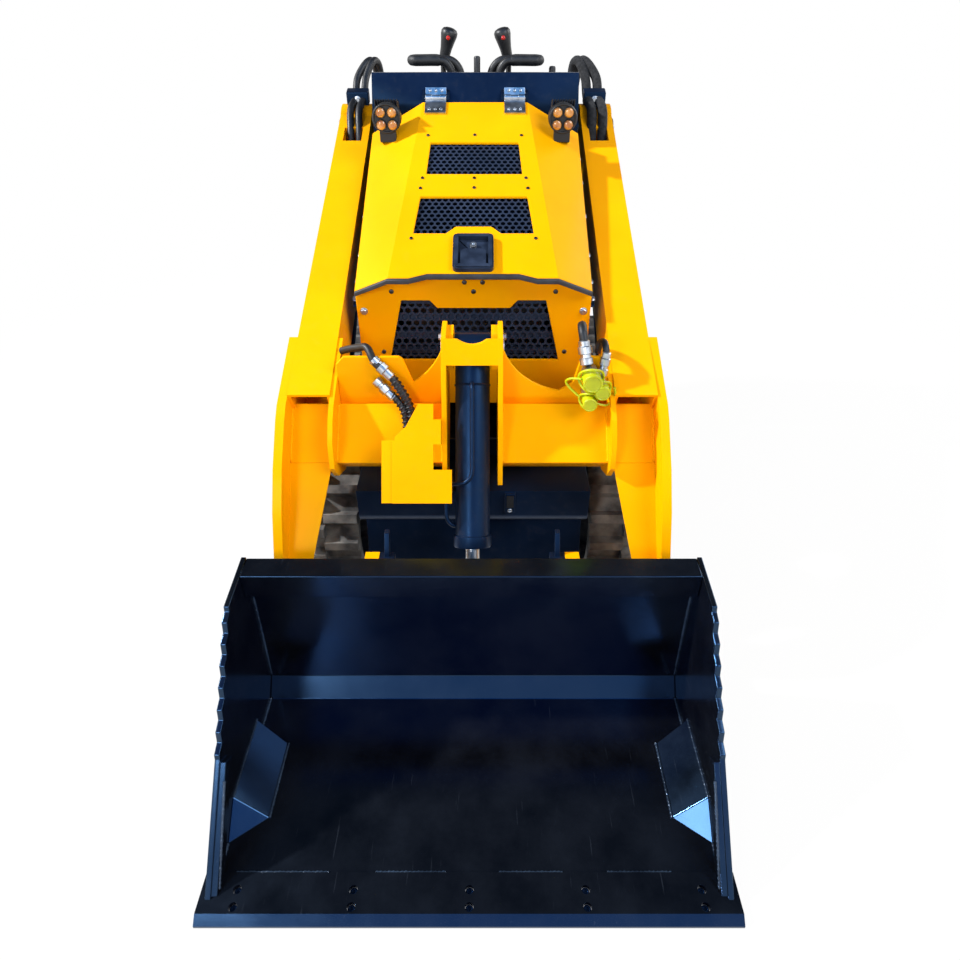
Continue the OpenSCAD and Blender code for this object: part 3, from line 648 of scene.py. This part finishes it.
finished(both_sides(joined([drum, foot] + fins)), "lamp_bodies", "hood", black_plastic, 35, 0.8, ["work_lamps"])
lenses, bezels = [], []
for dx, dz in LENS_SPOTS:
    spot = at(LAMP_X + dx, LENS_S, LAMP_Z + dz)
    lenses.append(turned(LENS, spot, FORWARD, 20))
    bezels.append(turned(BEZEL, spot, FORWARD, 20))
finished(both_sides(joined(lenses)), "lamp_lenses", "hood", amber_lens)
finished(both_sides(joined(bezels)), "lamp_bezels", "hood", black_plastic)
print("lenses on each lamp:", len(LENS_SPOTS))

# %% [markdown]
# ## Controls
# Two joysticks stand on rubber boots. A boot is a stack of rings that grow and shrink; a grip is a turned form
# squeezed to an oval, leaned towards the middle, with a red button for the thumb. In front of them a bent bar on
# each side, sleeved with foam, gives the hands something to hold.

# %% Joysticks
BOOT = [(27, 0), (28, 4), (23, 9), (25, 14), (20, 19), (22, 24), (16, 30), (17, 34), (11, 40), (9, 44), (9, 86)]
GRIP = [(13, 0), (16, 4), (17, 20), (19, 44), (23, 66), (27, 84), (27, 95), (22, 103), (12, 107), (4, 108)]
GRIP_LEAN = 15  # degrees
GRIP_SQUEEZE = (0.98, 1.04, 0.95, 1)
boot = turned(BOOT, at(108, 2000, 1224), UP, 28)
finished(both_sides(boot), "joystick_boots", "chassis", hose_rubber, 50)
grip = turned(GRIP, Vector((0, 0, 0)), UP, 28)
on_grip = Matrix.Translation(at(108, 2000, 1299)) @ Matrix.Rotation(math.radians(-GRIP_LEAN), 4, "Y")
grip.data.transform(on_grip @ Matrix.Diagonal(GRIP_SQUEEZE))
finished(both_sides(grip), "joystick_grips", "chassis", black_plastic, 60, 0, ["joysticks"])
button = turned([(6.5, 0), (6.5, 3), (5, 5), (2, 6)], on_grip @ Vector((0, -0.0260, 0.074)),
                on_grip.to_3x3() @ Vector((0, -1, 0.15)).normalized(), 20)
finished(both_sides(button), "joystick_buttons", "chassis", red_plastic, 50)
print("joystick grips lean", GRIP_LEAN, "degrees")

# %% Steering bars
BAR_Z = 1310
BAR_FRONT, BAR_BACK = 1930, 1962
bar_run = smooth_run([at(76, BAR_FRONT, 1222), at(76, BAR_FRONT, 1250), at(80, BAR_FRONT, 1282),
                      at(96, BAR_FRONT, 1304), at(120, BAR_FRONT, BAR_Z), at(180, BAR_FRONT, BAR_Z),
                      at(196, 1932, BAR_Z), at(206, 1946, BAR_Z), at(196, 1960, BAR_Z),
                      at(180, BAR_BACK, BAR_Z), at(104, BAR_BACK, BAR_Z), at(74, BAR_BACK, 1303),
                      at(54, BAR_BACK, 1280), at(48, BAR_BACK, 1250), at(48, BAR_BACK, 1222)], 6)
finished(both_sides(tube(bar_run, 13.5, 5)), "steering_bars", "chassis", hose_rubber, 60, 0, ["handlebars"])
foam_run = [point for point in bar_run if point.x > 0.110 and point.z > 1.306]
foam_ends = [0.88] + [1.0] * (len(foam_run) - 2) + [0.88]
finished(both_sides(tube(foam_run, 15.7, 6, foam_ends)), "steering_grips", "chassis", pad_vinyl, 60)
knobs = [turned([(10.5, 0), (10.5, 94), (8, 98), (3, 99)], at(4, 1960, 1222), UP, 20),
         turned([(14, 0), (14, 8), (11, 10), (11, 64), (9, 69), (4, 70)], at(250, 1960, 1222), UP, 20)]
finished(joined(knobs), "deck_knobs", "chassis", black_plastic, 40)
print("points along a steering bar:", len(bar_run))

# %% [markdown]
# ## Hoses
# Hydraulic hose is black rubber over a wire braid; the right-hand pair wears a woven sleeve, which is matt and
# ribbed. The pair on each arm comes up through the slot in the arm's top, is held by a clamp over the pivot, and
# loops over into the console. It crosses the arms' joint, so it rides on no body.

# %% Woven sleeve and arm hoses
def sleeve(name):
    """Woven nylon: matt, with a raised diagonal weave."""
    finish, tree, shader = new_finish(name, Roughness=0.9)
    coords = add(tree, "TexCoord").outputs["Object"]
    over = add(tree, "TexWave", {"Vector": coords}, {"Scale": per_metre(60), "Distortion": 1.0},
               bands_direction="DIAGONAL")
    under = add(tree, "TexNoise", {"Vector": coords}, {"Scale": per_metre(9), "Detail": 3.0})
    bump = add(tree, "Bump", {"Height": over.outputs["Fac"]}, {"Strength": 0.5, "Distance": 0.002})
    tree.links.new(tones(tree, under.outputs["Fac"], "#101113", "#2A2B2E"), shader.inputs["Base Color"])
    tree.links.new(bump.outputs["Normal"], shader.inputs["Normal"])
    return finish


def arm_hose(side, gap, radius):
    """One hose of an arm's pair, from the slot past the clamp to the console's grommet."""
    x = 396 + gap
    run = ((x + 2, 1838, 1060), (x + 2, 1862, 1112), (x + 4, 1910, 1168), (x - 4, 1980, 1194), (x - 8, 2036, 1248),
           (362 + gap * 0.6, 2080, 1292), (346 + gap * 0.5, 2112, 1282), (338 + gap * 0.4, 2122, 1220),
           (330 + gap * 0.4, 2110, 1120), (312 + gap * 0.4, 2070, 1050), (306 + gap * 0.4, 2040, 1040))
    return tube(smooth_run([at(side * across, s, z) for across, s, z in run], 7), radius, 4)


CLAMP_X, CLAMP_S, CLAMP_Z = (360, 434), 1962, (1170, 1214)
GROMMET = [(34, -4), (34, 5), (31, 9), (24, 11), (21, 8)]
woven_sleeve = sleeve("woven_nylon_sleeve")
for side, word, gap, radius, coat in ((-1, "left", 14, 12, hose_rubber), (1, "right", 18, 16, woven_sleeve)):
    hoses = joined([arm_hose(side, -gap, radius), arm_hose(side, gap, radius)])
    finished(hoses, "arm_hoses_" + word, None, coat, 60)
    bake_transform(hoses)
    clamp = plate([at(side * CLAMP_X[i], CLAMP_S, CLAMP_Z[j]) for i, j in CORNERS],
                  (0, 0.034, 0.010))
    finished(clamp, "hose_clamp_" + word, "lift_arms", black_coat, 35, 4)
    grommet = turned(GROMMET, at(side * 308, 2045, 1042), (0, 1, 0), 32)
    finished(grommet, "hose_grommet_" + word, "chassis", hose_rubber, 50)
    print("arm hoses,", word, "side:", 2 * radius, "mm thick")

# %% Wrapped hoses behind the guard
FITTING = [(10, 0), (13, 1), (13, 15), (11, 17), (11, 22), (14.5, 24), (14.5, 40), (12, 42), (12, 62), (10, 64)]
upper = smooth_run([at(-334, 996, 750), at(-308, 980, 764), at(-282, 962, 776), at(-258, 940, 786),
                    at(-236, 908, 762), at(-200, 899, 730), at(-176, 890, 694), at(-158, 880, 656),
                    at(-152, 866, 618), at(-158, 838, 566)], 8)
lower = smooth_run([at(-240, 911, 713), at(-228, 906, 702), at(-214, 900, 690), at(-187, 888, 668),
                    at(-170, 876, 642), at(-165, 862, 606), at(-166, 842, 572)], 8)
finished(joined([tube(upper, 9.5, 4), tube(lower, 8.5, 4)]), "tilt_hoses", "lift_arms", hose_rubber, 60)
wraps = [tube(wound(upper[42:], 10.5, 12), 2.6, 1), tube(wound(lower[20:], 9.5, 12), 2.4, 1)]
finished(joined(wraps), "tilt_hose_wraps", "lift_arms", black_plastic, 60)
fittings = []
for run, first in ((upper, 30), (lower, 0)):
    fittings.append(turned(FITTING, run[first], (run[first + 10] - run[first]).normalized(), 12))
finished(joined(fittings), "tilt_hose_fittings", "lift_arms", zinc, 30)
print("tilt hoses made, points along the upper one:", len(upper))

# %% [markdown]
# ## Couplers
# Three quick couplers wait for a tool's hoses, each under a soft cap on a strap. The bodies are turned with a
# knurled sleeve; the caps are turned with a rolled rim. Two fittings rise behind them, and their hoses bend over
# the plate.

# %% Couplers and caps
COUPLER = [(11, -60), (13, -58), (13, -30), (17, -28), (17, -8), (14, -6), (14, 6), (19, 8), (19, 22), (20, 24),
           (20, 50)]
CAP = [(21, 46), (24, 47), (24, 52), (22.5, 54), (22.5, 78), (24, 80), (24, 82), (20, 84), (18, 82)]
RISER = [(12, 0), (16, 2), (16, 16), (13, 18), (13, 26), (17, 28), (17, 44), (14, 46), (14, 58), (11, 60)]
CAP_R = 24
STRAP_R = 3.2
STRAP_STEPS = 28


def scaled(profile, share):
    """A profile with its radii made smaller."""
    return [(radius * share, height) for radius, height in profile]


bodies, caps, straps = [], [], []
for x, z, r in ((286, 742, 24), (312, 716, 19), (284, 684, 18)):
    bodies.append(turned(scaled(COUPLER, r / CAP_R), at(x, 920, z), FORWARD, 18))
    caps.append(turned(scaled(CAP, r / CAP_R), at(x, 920, z), FORWARD, 28))
    loop = [at(x + 1.25 * r * math.cos(a), 864 + 10 * math.cos(2 * a), z + 1.25 * r * math.sin(a))
            for a in [2 * math.pi * i / STRAP_STEPS for i in range(STRAP_STEPS + 1)]]
    straps.append(tube(loop, STRAP_R, 2))
for run in ([at(262, 864, 742), at(238, 874, 738), at(228, 886, 722), at(240, 880, 706), at(262, 868, 690)],
            [at(300, 862, 676), at(330, 866, 668), at(348, 872, 690), at(344, 868, 716)]):
    straps.append(tube(smooth_run(run, 7), STRAP_R, 2))
for low_end, high_end, share in ((at(277, 898, 762), at(268, 922, 818), 1.0),
                                 (at(318, 904, 730), at(324, 912, 776), 0.75)):
    bodies.append(turned(scaled(RISER, share), low_end, (high_end - low_end).normalized(), 12))
finished(joined(bodies), "coupler_bodies", "lift_arms", zinc, 30, 0, ["couplers"])
risers = []
for radius, run in ((11, [at(269, 919, 812), at(266, 932, 832), at(266, 956, 838), at(272, 984, 822),
                          at(280, 1000, 784)]),
                    (8.5, [at(323, 911, 770), at(324, 926, 794), at(322, 950, 798), at(318, 976, 782),
                           at(316, 990, 750)])):
    risers.append(tube(smooth_run(run, 8), radius, 4))
finished(joined(risers), "coupler_hoses", "lift_arms", hose_rubber, 60)
finished(joined(caps), "coupler_soft_caps", "lift_arms", cap_plastic, 35, 0.6, ["coupler_caps"])
finished(joined(straps), "cap_straps", "lift_arms", cap_plastic, 60)
print("couplers made:", len(caps))

# %% [markdown]
# ## Screws and bolts
# Fasteners repeat, so one head of each kind is modelled and copied, and the copies on one body are joined.

# %% Fasteners
def head(size):
    """A hexagon head on a washer, standing up from the origin."""
    washer = turned([(size * 0.75, 0), (size * 0.75, 1.6), (size * 0.7, 2)], Vector((0, 0, 0)), UP, 18)
    hexagon = turned([(size * 0.56, 1.5), (size * 0.58, 2.2), (size * 0.58, 6.5), (size * 0.48, 7.6)],
                     Vector((0, 0, 0)), UP, 6)
    return joined([washer, hexagon])


def button_head(size):
    """A low round screw head with a socket."""
    return turned([(size / 2, -0.5), (size / 2, 1), (size * 0.42, 2.4), (size * 0.25, 3), (size * 0.22, 3),
                   (size * 0.2, 1)], Vector((0, 0, 0)), UP, 16)


PANEL_S = 1150
HINGE_SCREW_X = (103, 121, 139)
EDGE_BOLT_PITCH = 234
hood_screws = [on_hood @ Matrix.Translation((x / 1000, y / 1000, 0)) for x, y in
               ((-165, 140), (0, 146), (165, 140), (-150, 334), (0, 336), (150, 334),
                (-146, 376), (0, 376), (146, 376), (-138, 562), (0, 564), (138, 562))]
finished(copies(button_head(10), hood_screws), "hood_screws", "hood", dark_steel, 40)
panel_screws = [stood(at(x, PANEL_S, z), FORWARD) for x, z in
                ((-24, 872), (24, 872), (0, 846), (-218, 846), (218, 846), (-252, 668), (252, 668))]
finished(copies(button_head(13), panel_screws), "front_panel_screws", "chassis", dark_steel, 40)
panel_bolts = [stood(at(x, PANEL_S, z), FORWARD) for x in (-296, 296) for z in (560, 790)]
finished(copies(head(14), panel_bolts), "front_panel_bolts", "chassis", zinc, 30)
edge_bolts = [stood(at(i * EDGE_BOLT_PITCH, s, 8), UP) for i in (-2, -1, 0, 1, 2) for s in (29, 60)]
finished(copies(button_head(16.4), edge_bolts), "edge_bolt_heads", "tool", black_coat, 40)
hinge_screws = [on_hood @ Matrix.Translation((side * x / 1000, 0.680, 0.005))
                for side in (-1, 1) for x in HINGE_SCREW_X]
finished(copies(button_head(9), hinge_screws), "hinge_screws", "hood", zinc, 40)
print("screws on the hood:", len(hood_screws) + len(hinge_screws))

# %% [markdown]
# ## Welds
# A weld bead is a row of overlapping ripples. A run of points gets a tube whose radius swells and shrinks every
# few millimetres, laid half into the corner that it fills.

# %% Weld beads
RIPPLE = 3
BEAM_LEAN = math.radians(41.8)


def bead(a, b, radius):
    """A rippled bead from one place to another."""
    count = max(6, int((b - a).length * 1000 / RIPPLE))
    run = [a.lerp(b, i / count) for i in range(count + 1)]
    return tube(run, radius, 1, [1 + 0.22 * math.sin(i * 2.2) + 0.1 * math.sin(i * 0.7) for i in range(count + 1)])


def on_beam(x, down, out):
    """A place on the cross beam's front face: across, down its face and out from it."""
    return at(x, 898 - down * math.sin(BEAM_LEAN) - out * math.cos(BEAM_LEAN),
              653 - down * math.cos(BEAM_LEAN) + out * math.sin(BEAM_LEAN))


edge_beads = [bead(at(x0, 93, 15), at(x1, 93, 15), 4)
              for x0, x1 in ((-480, -290), (-194, -49), (60, 190), (282, 414))]
arm_beads = []
for side in (-1, 1):
    for x, s0, z0, s1, z1, radius in ((515, 100, 16, 150, 16, 3.5), (515, 410, 16, 498, 16, 3.5),
                                      (515, 540, 62, 556, 366, 3.5), (441, 204, 15, 378, 15, 3),
                                      (515, 221, 68, 408, 68, 3), (503, 60, 24, 196, 176, 3)):
        edge_beads.append(bead(at(side * x, s0, z0), at(side * x, s1, z1), radius))
    for x, start, end in ((336, 4, 146), (74, 4, 146), (451, 6, 144)):
        arm_beads.append(bead(on_beam(side * x, start, 0), on_beam(side * x, end, 0), 4))
# the beads' lighter blue-grey colour is painted highlight
finished(joined(edge_beads), "bucket_welds", "tool", weld_painted_highlight, 60)
finished(joined(arm_beads), "arm_welds", "lift_arms", yellow_coat, 60)
print("weld beads made")

# %% [markdown]
# ## Hinges and pins
# Each hinge has a second leaf on the console, and knuckles that take turns along the pin. Pins that carry the
# arms end in a flat keeper held by a bolt.

# %% Hinge leaves on the console
KNUCKLE = [(9.6, 0), (10.2, 1), (10.2, 18), (9.6, 19)]
LEAF_X = (89, 153)
leaves = []
for side in (-1, 1):
    leaves.append(plate([at(side * LEAF_X[0], 1763, 1232), at(side * LEAF_X[1], 1763, 1232),
                         at(side * LEAF_X[1], 1775, 1253), at(side * LEAF_X[0], 1775, 1253)], (0, 0.010, -0.004)))
    leaves += [turned(KNUCKLE, at(side * 121 + x, 1757, 1226), (1, 0, 0), 20) for x in (-31, 12)]
finished(joined(leaves), "console_hinge_leaves", "chassis", zinc, 35, 0.8)
leaf_screws = [stood(at(side * x, 1769, 1246), (0, -0.87, 0.5)) for side in (-1, 1) for x in HINGE_SCREW_X]
finished(copies(button_head(9), leaf_screws), "console_hinge_screws", "chassis", zinc, 40)
print("screws in the console's hinge leaves:", len(leaf_screws))

# %% Pin keepers and bolts
keepers, keeper_bolts = [], []
for side in (-1, 1):
    outward = (side, 0, 0)
    for s, z, x, r in ((1980, 1098, 464, 34), (656, 165, 480, 27)):
        keepers.append(turned([(r, 0), (r, 5), (r - 3, 7)], at(side * (x - 4), s, z), outward, 32))
        keeper_bolts.append(stood(at(side * (x + 3), s, z), outward))
    keeper_bolts += [stood(at(side * 75, 950, z), outward) for z in (812, 758)]
finished(joined(keepers), "pin_keepers", "lift_arms", dark_steel, 35)
finished(copies(head(15), keeper_bolts), "pin_keeper_bolts", "lift_arms", zinc, 30)
rail_bolts = [stood(at(side * 323, s, 800 + (s - 1164) * 284 / 588), (0, -0.435, 0.9))
              for side in (-1, 1) for s in (1185, 1240, 1330, 1470, 1600, 1700)]
finished(copies(head(11), rail_bolts), "side_rail_bolts", "chassis", zinc, 30)
clamp_bolts = [stood(at(side * 397, CLAMP_S, 1192), FORWARD) for side in (-1, 1)]
finished(copies(head(15), clamp_bolts), "hose_clamp_bolts", "lift_arms", zinc, 30)
print("bolts on the pins:", len(keeper_bolts))

# %% [markdown]
# ## Tank gauge and plain plates
# A level gauge stands on the tank's front, and small plain plates sit on the lock housings.

# %% Gauge and plates
GAUGE_X, GAUGE_Z = (86, 104), (404, 442)
TAG_X, TAG_S, TAG_Z = (222, 256), (604, 638), 392
glass = plate([at(GAUGE_X[i], 791.5, GAUGE_Z[j]) for i, j in CORNERS], (0, -0.004, 0))
finished(glass, "tank_gauge_strip", "chassis", black_plastic, 35, 1.0)
screw = copies(button_head(12), [stood(at(95, 792, 393), FORWARD)])
finished(screw, "tank_gauge_screw", "chassis", zinc, 40)
tags = [plate([at(side * TAG_X[i], TAG_S[j], TAG_Z) for i, j in CORNERS], (0, 0, 0.002)) for side in (-1, 1)]
finished(joined(tags), "lock_plates", "tool", yellow_coat, 35, 0.4)
print("plain plates:", len(tags))

# %% [markdown]
# ## Platform and the operator's side
# The operator stands on a plate with raised rings that bite into a boot. One ring is modelled and copied. The
# console's back has a louvred cover below the pad, and a gauge and a key stand on the deck.

# %% Platform rings
RING = [(13, -0.5), (12, 3), (9, 4), (8, 3), (7.5, -0.5)]
RING_STEP = (57, 50)
rings_at = [Matrix.Translation(at(-228 + RING_STEP[0] * i, 2110 + RING_STEP[1] * j, 248))
            for i in range(9) for j in range(6)]
finished(copies(turned(RING, Vector((0, 0, 0)), UP, 12), rings_at), "platform_rings", "chassis", black_coat, 40)
print("platform rings:", len(rings_at))

# %% Louvred cover and deck gauges
COVER_X, COVER_Z = (-205, 205), (650, 850)
SLAT_X = 170
cover = plate([at(COVER_X[i], 2044, COVER_Z[j]) for i, j in CORNERS], (0, 0.004, 0))
slats = [plate([at(-SLAT_X, 2048, z), at(SLAT_X, 2048, z), at(SLAT_X, 2062, z - 10), at(-SLAT_X, 2062, z - 10)],
               (0, 0.002, -0.010)) for z in range(690, 831, 20)]
finished(joined([cover] + slats), "rear_louvre_cover", "chassis", black_coat, 35, 1.2)
cover_screws = [stood(at(x, 2048, z), (0, 1, 0)) for x in (-192, 192) for z in (664, 836)]
finished(copies(button_head(12), cover_screws), "rear_cover_screws", "chassis", zinc, 40)
dial = turned([(30, -1), (30, 6), (27, 8), (25.5, 8), (25, 5)], at(-4, 2008, 1224), UP, 32)
switch = turned([(13, -1), (13, 6), (11, 8), (5, 8), (4.5, 14), (3, 15)], at(190, 2005, 1224), UP, 24)
finished(joined([dial, switch]), "deck_gauge_and_switch", "chassis", black_plastic, 35)
face = turned([(25, 0), (25, 1), (2, 1.2)], at(-4, 2008, 1228.5), UP, 32)
finished(face, "deck_gauge_face", "chassis", zinc, 35)
print("louvre slats:", len(slats))

# %% [markdown]
# ## Tilt cylinder
# The barrel carries a thin oil pipe, which runs down its front, turns behind the guard and enters it low on the
# left. A weld ring marks the base and a gland the end where the rod comes out. The rings are turned.

# %% Tilt cylinder fittings
TILT_BASE, TILT_EYE = (950, 785), (632, 310)
tilt_way = (at(0, *TILT_EYE) - at(0, *TILT_BASE)).normalized()
tilt_face = tilt_way.cross(Vector((1, 0, 0))).normalized()


def on_tilt(x, along, out):
    """A place on the tilt cylinder: across, along its axis from the base pin and out to the front."""
    return at(x, *TILT_BASE) + tilt_way * along / 1000 + tilt_face * out / 1000


gland = turned([(43, 0), (46.5, 2), (46.5, 26), (45, 30), (43, 30)], on_tilt(0, 462, 0), tilt_way, 40)
base_ring = turned([(42.6, 0), (45, 3), (42.6, 6)], on_tilt(0, 92, 0), tilt_way, 40)
pipe = tube(smooth_run([on_tilt(0, 92, 40), on_tilt(0, 104, 50), on_tilt(0, 130, 51), on_tilt(0, 270, 51),
                        on_tilt(0, 302, 51), on_tilt(-5, 320, 50), on_tilt(-17, 331, 48), on_tilt(-30, 334, 43),
                        on_tilt(-46, 336, 34), on_tilt(-58, 342, 26), on_tilt(-64, 356, 19), on_tilt(-64, 385, 14),
                        on_tilt(-64, 412, 11), on_tilt(-60, 428, 8), on_tilt(-51, 438, 5), on_tilt(-42, 441, 2)],
                       8), 5, 4)
finished(joined([gland, base_ring, pipe]), "tilt_cylinder_pipe", "tilt_barrel", black_coat, 40)
print("tilt cylinder fittings made")

# %% [markdown]
# ## Operator's pad
# The operator leans on a pad at the back of the console. It starts as a block a little smaller than its place,
# is remeshed and blown up as cloth, and the points may move only a few millimetres, so that it swells like foam.
# Two upright seams pull its face in.

# %% Thigh pad
PAD_ROOM = Vector((0.016, 0.010, 0.016))
PAD_SWELL = 0.008
SEAM_X, SEAM_W, SEAM_DEPTH = (-0.075, 0.075), 0.02, 0.007
CLOTH_FRAMES = 20
low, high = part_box("thigh_pad")
block = high - low - PAD_ROOM
pad = fresh(bpy.ops.mesh.primitive_cube_add, size=1)
pad.data.transform(Matrix.Translation((low + high) / 2) @ Matrix.Diagonal((*block, 1)))
modify(pad, "BEVEL", width=0.012, segments=3)
modify(pad, "REMESH", mode="VOXEL", voxel_size=0.006)
unblown = [vertex.co.copy() for vertex in pad.data.vertices]
alone(pad)
cloth = pad.modifiers.new("cloth", "CLOTH")
cloth.settings.use_pressure = True
cloth.settings.uniform_pressure_force = 4
cloth.settings.effector_weights.gravity = 0
cloth.point_cache.frame_start = 1
cloth.point_cache.frame_end = CLOTH_FRAMES
for number in range(1, CLOTH_FRAMES + 1):
    bpy.context.scene.frame_set(number)
bpy.ops.object.modifier_apply(modifier=cloth.name)
bpy.context.scene.frame_set(1)
for vertex, home in zip(pad.data.vertices, unblown):
    move = vertex.co - home
    if move.length > PAD_SWELL:
        vertex.co = home + move.normalized() * PAD_SWELL
    vertex.co.y = max(vertex.co.y, low.y + 0.0005)
    seam = min(abs(vertex.co.x - x) for x in SEAM_X)
    if vertex.co.y > (low.y + high.y) / 2 and seam < SEAM_W:
        vertex.co.y -= SEAM_DEPTH * (1 - seam / SEAM_W) ** 2
modify(pad, "SUBSURF", levels=1, render_levels=1)
finished(pad, "operator_pad", "chassis", pad_vinyl, 80, 0, ["thigh_pad"])
print("pad vertices:", len(pad.data.vertices))

# %% [markdown]
# ## Stage and light
# The floor is white where it is seen and keeps only a trace of the shadow. A small strong key stands in for the
# sun, to the left and a little behind, so its shadows are crisp; a broad fill, a glint for the bucket's corners
# and a lamp behind open them up. The world is white where the camera or a gloss looks at it, and gives a little
# fill elsewhere. High up, a gloss sees blue sky in front of the machine and a dim roof behind it, which turns
# black paint navy on the faces that look forward and up. Painted sky reflection in the black coat's navy base
# colour, and the blue specular tints of the black coat and the enamels, add more of that navy.

# %% Floor
def seen_directly(tree):
    """The light path node, and 1 for rays from the camera or from a gloss."""
    rays = add(tree, "LightPath")
    seen = add(tree, "Math", {0: rays.outputs["Is Camera Ray"], 1: rays.outputs["Is Glossy Ray"]},
               operation="MAXIMUM")
    return rays, seen.outputs[0]


floor = fresh(bpy.ops.mesh.primitive_plane_add, size=60, location=(0, 0, -0.001))
floor.name = "floor"
floor_finish, floor_tree, floor_shader = new_finish("pale_floor", Roughness=0.9, Base_Color=linear("#F2F2F2"))
floor_seen = seen_directly(floor_tree)[1]
reach = add(floor_tree, "VectorMath", {0: add(floor_tree, "TexCoord").outputs["Object"]}, operation="LENGTH")
white = add(floor_tree, "MapRange", {"Value": reach.outputs["Value"]},
            {"From Min": 1.2, "From Max": 3.0, "To Min": 0.95, "To Max": 1.0}, interpolation_type="SMOOTHSTEP")
glowing = add(floor_tree, "Math", {0: floor_seen, 1: white.outputs["Result"]}, operation="MULTIPLY")
glow = add(floor_tree, "Emission", values={"Color": (1, 1, 1, 1), "Strength": 1.0})
mixed = add(floor_tree, "MixShader", {0: glowing.outputs[0], 1: floor_shader.outputs[0], 2: glow.outputs[0]})
floor_tree.links.new(mixed.outputs[0], floor_tree.nodes["Material Output"].inputs["Surface"])
floor.data.materials.append(floor_finish)
print("floor laid")

# %% World and lamps
world = bpy.data.worlds.new("open_sky")
bpy.context.scene.world = world
world.use_nodes = True
sky_tree = world.node_tree
background = sky_tree.nodes["Background"]
sky_rays, sky_seen = seen_directly(sky_tree)
through = add(sky_tree, "Math", {0: sky_seen, 1: sky_rays.outputs["Is Transmission Ray"]}, operation="MAXIMUM")
strength = add(sky_tree, "MapRange", {"Value": through.outputs[0]}, {"To Min": 0.26, "To Max": 1.0})
sky_tree.links.new(strength.outputs["Result"], background.inputs["Strength"])
way = add(sky_tree, "SeparateXYZ", {"Vector": add(sky_tree, "TexCoord").outputs["Generated"]})
height = add(sky_tree, "MapRange", {"Value": way.outputs["Z"]}, {"From Min": 0.30, "From Max": 0.60})
ahead = add(sky_tree, "MapRange", {"Value": way.outputs["Y"]}, {"From Min": 0.10, "From Max": -0.30})
glossed = add(sky_tree, "Math", {0: height.outputs["Result"], 1: sky_rays.outputs["Is Glossy Ray"]},
              operation="MULTIPLY")
above = add(sky_tree, "Mix", {0: ahead.outputs["Result"]}, {6: linear("#40454E"), 7: linear("#38A8FF")},
            data_type="RGBA")
sky = add(sky_tree, "Mix", {0: glossed.outputs[0], 7: above.outputs[2]}, {6: (1, 1, 1, 1)}, data_type="RGBA")
sky_tree.links.new(sky.outputs[2], background.inputs["Color"])


def lamp(name, place, aim, size, watts):
    """A round area lamp at a place, turned to its aim. Sizes in metres."""
    light = fresh(bpy.ops.object.light_add, type="AREA", location=place)
    light.name = name
    light.rotation_euler = (Vector(aim) - Vector(place)).to_track_quat("-Z", "Y").to_euler()
    light.data.shape = "DISK"
    light.data.size = size
    light.data.energy = watts
    print(name, watts, "W")


lamp("key", (-7.8, 0.4, 6.9), (0, 0, 0.6), 0.5, 1420)
lamp("fill", (3.4, -2.6, 4.4), (0, 0, 0.6), 3.5, 190)
lamp("glint", (-1.64, -3.58, 2.29), (0.4, -1.0, 0.1), 1.0, 48)
lamp("back", (4.6, 3.2, 3.4), (0, 0, 0.8), 3.0, 110)
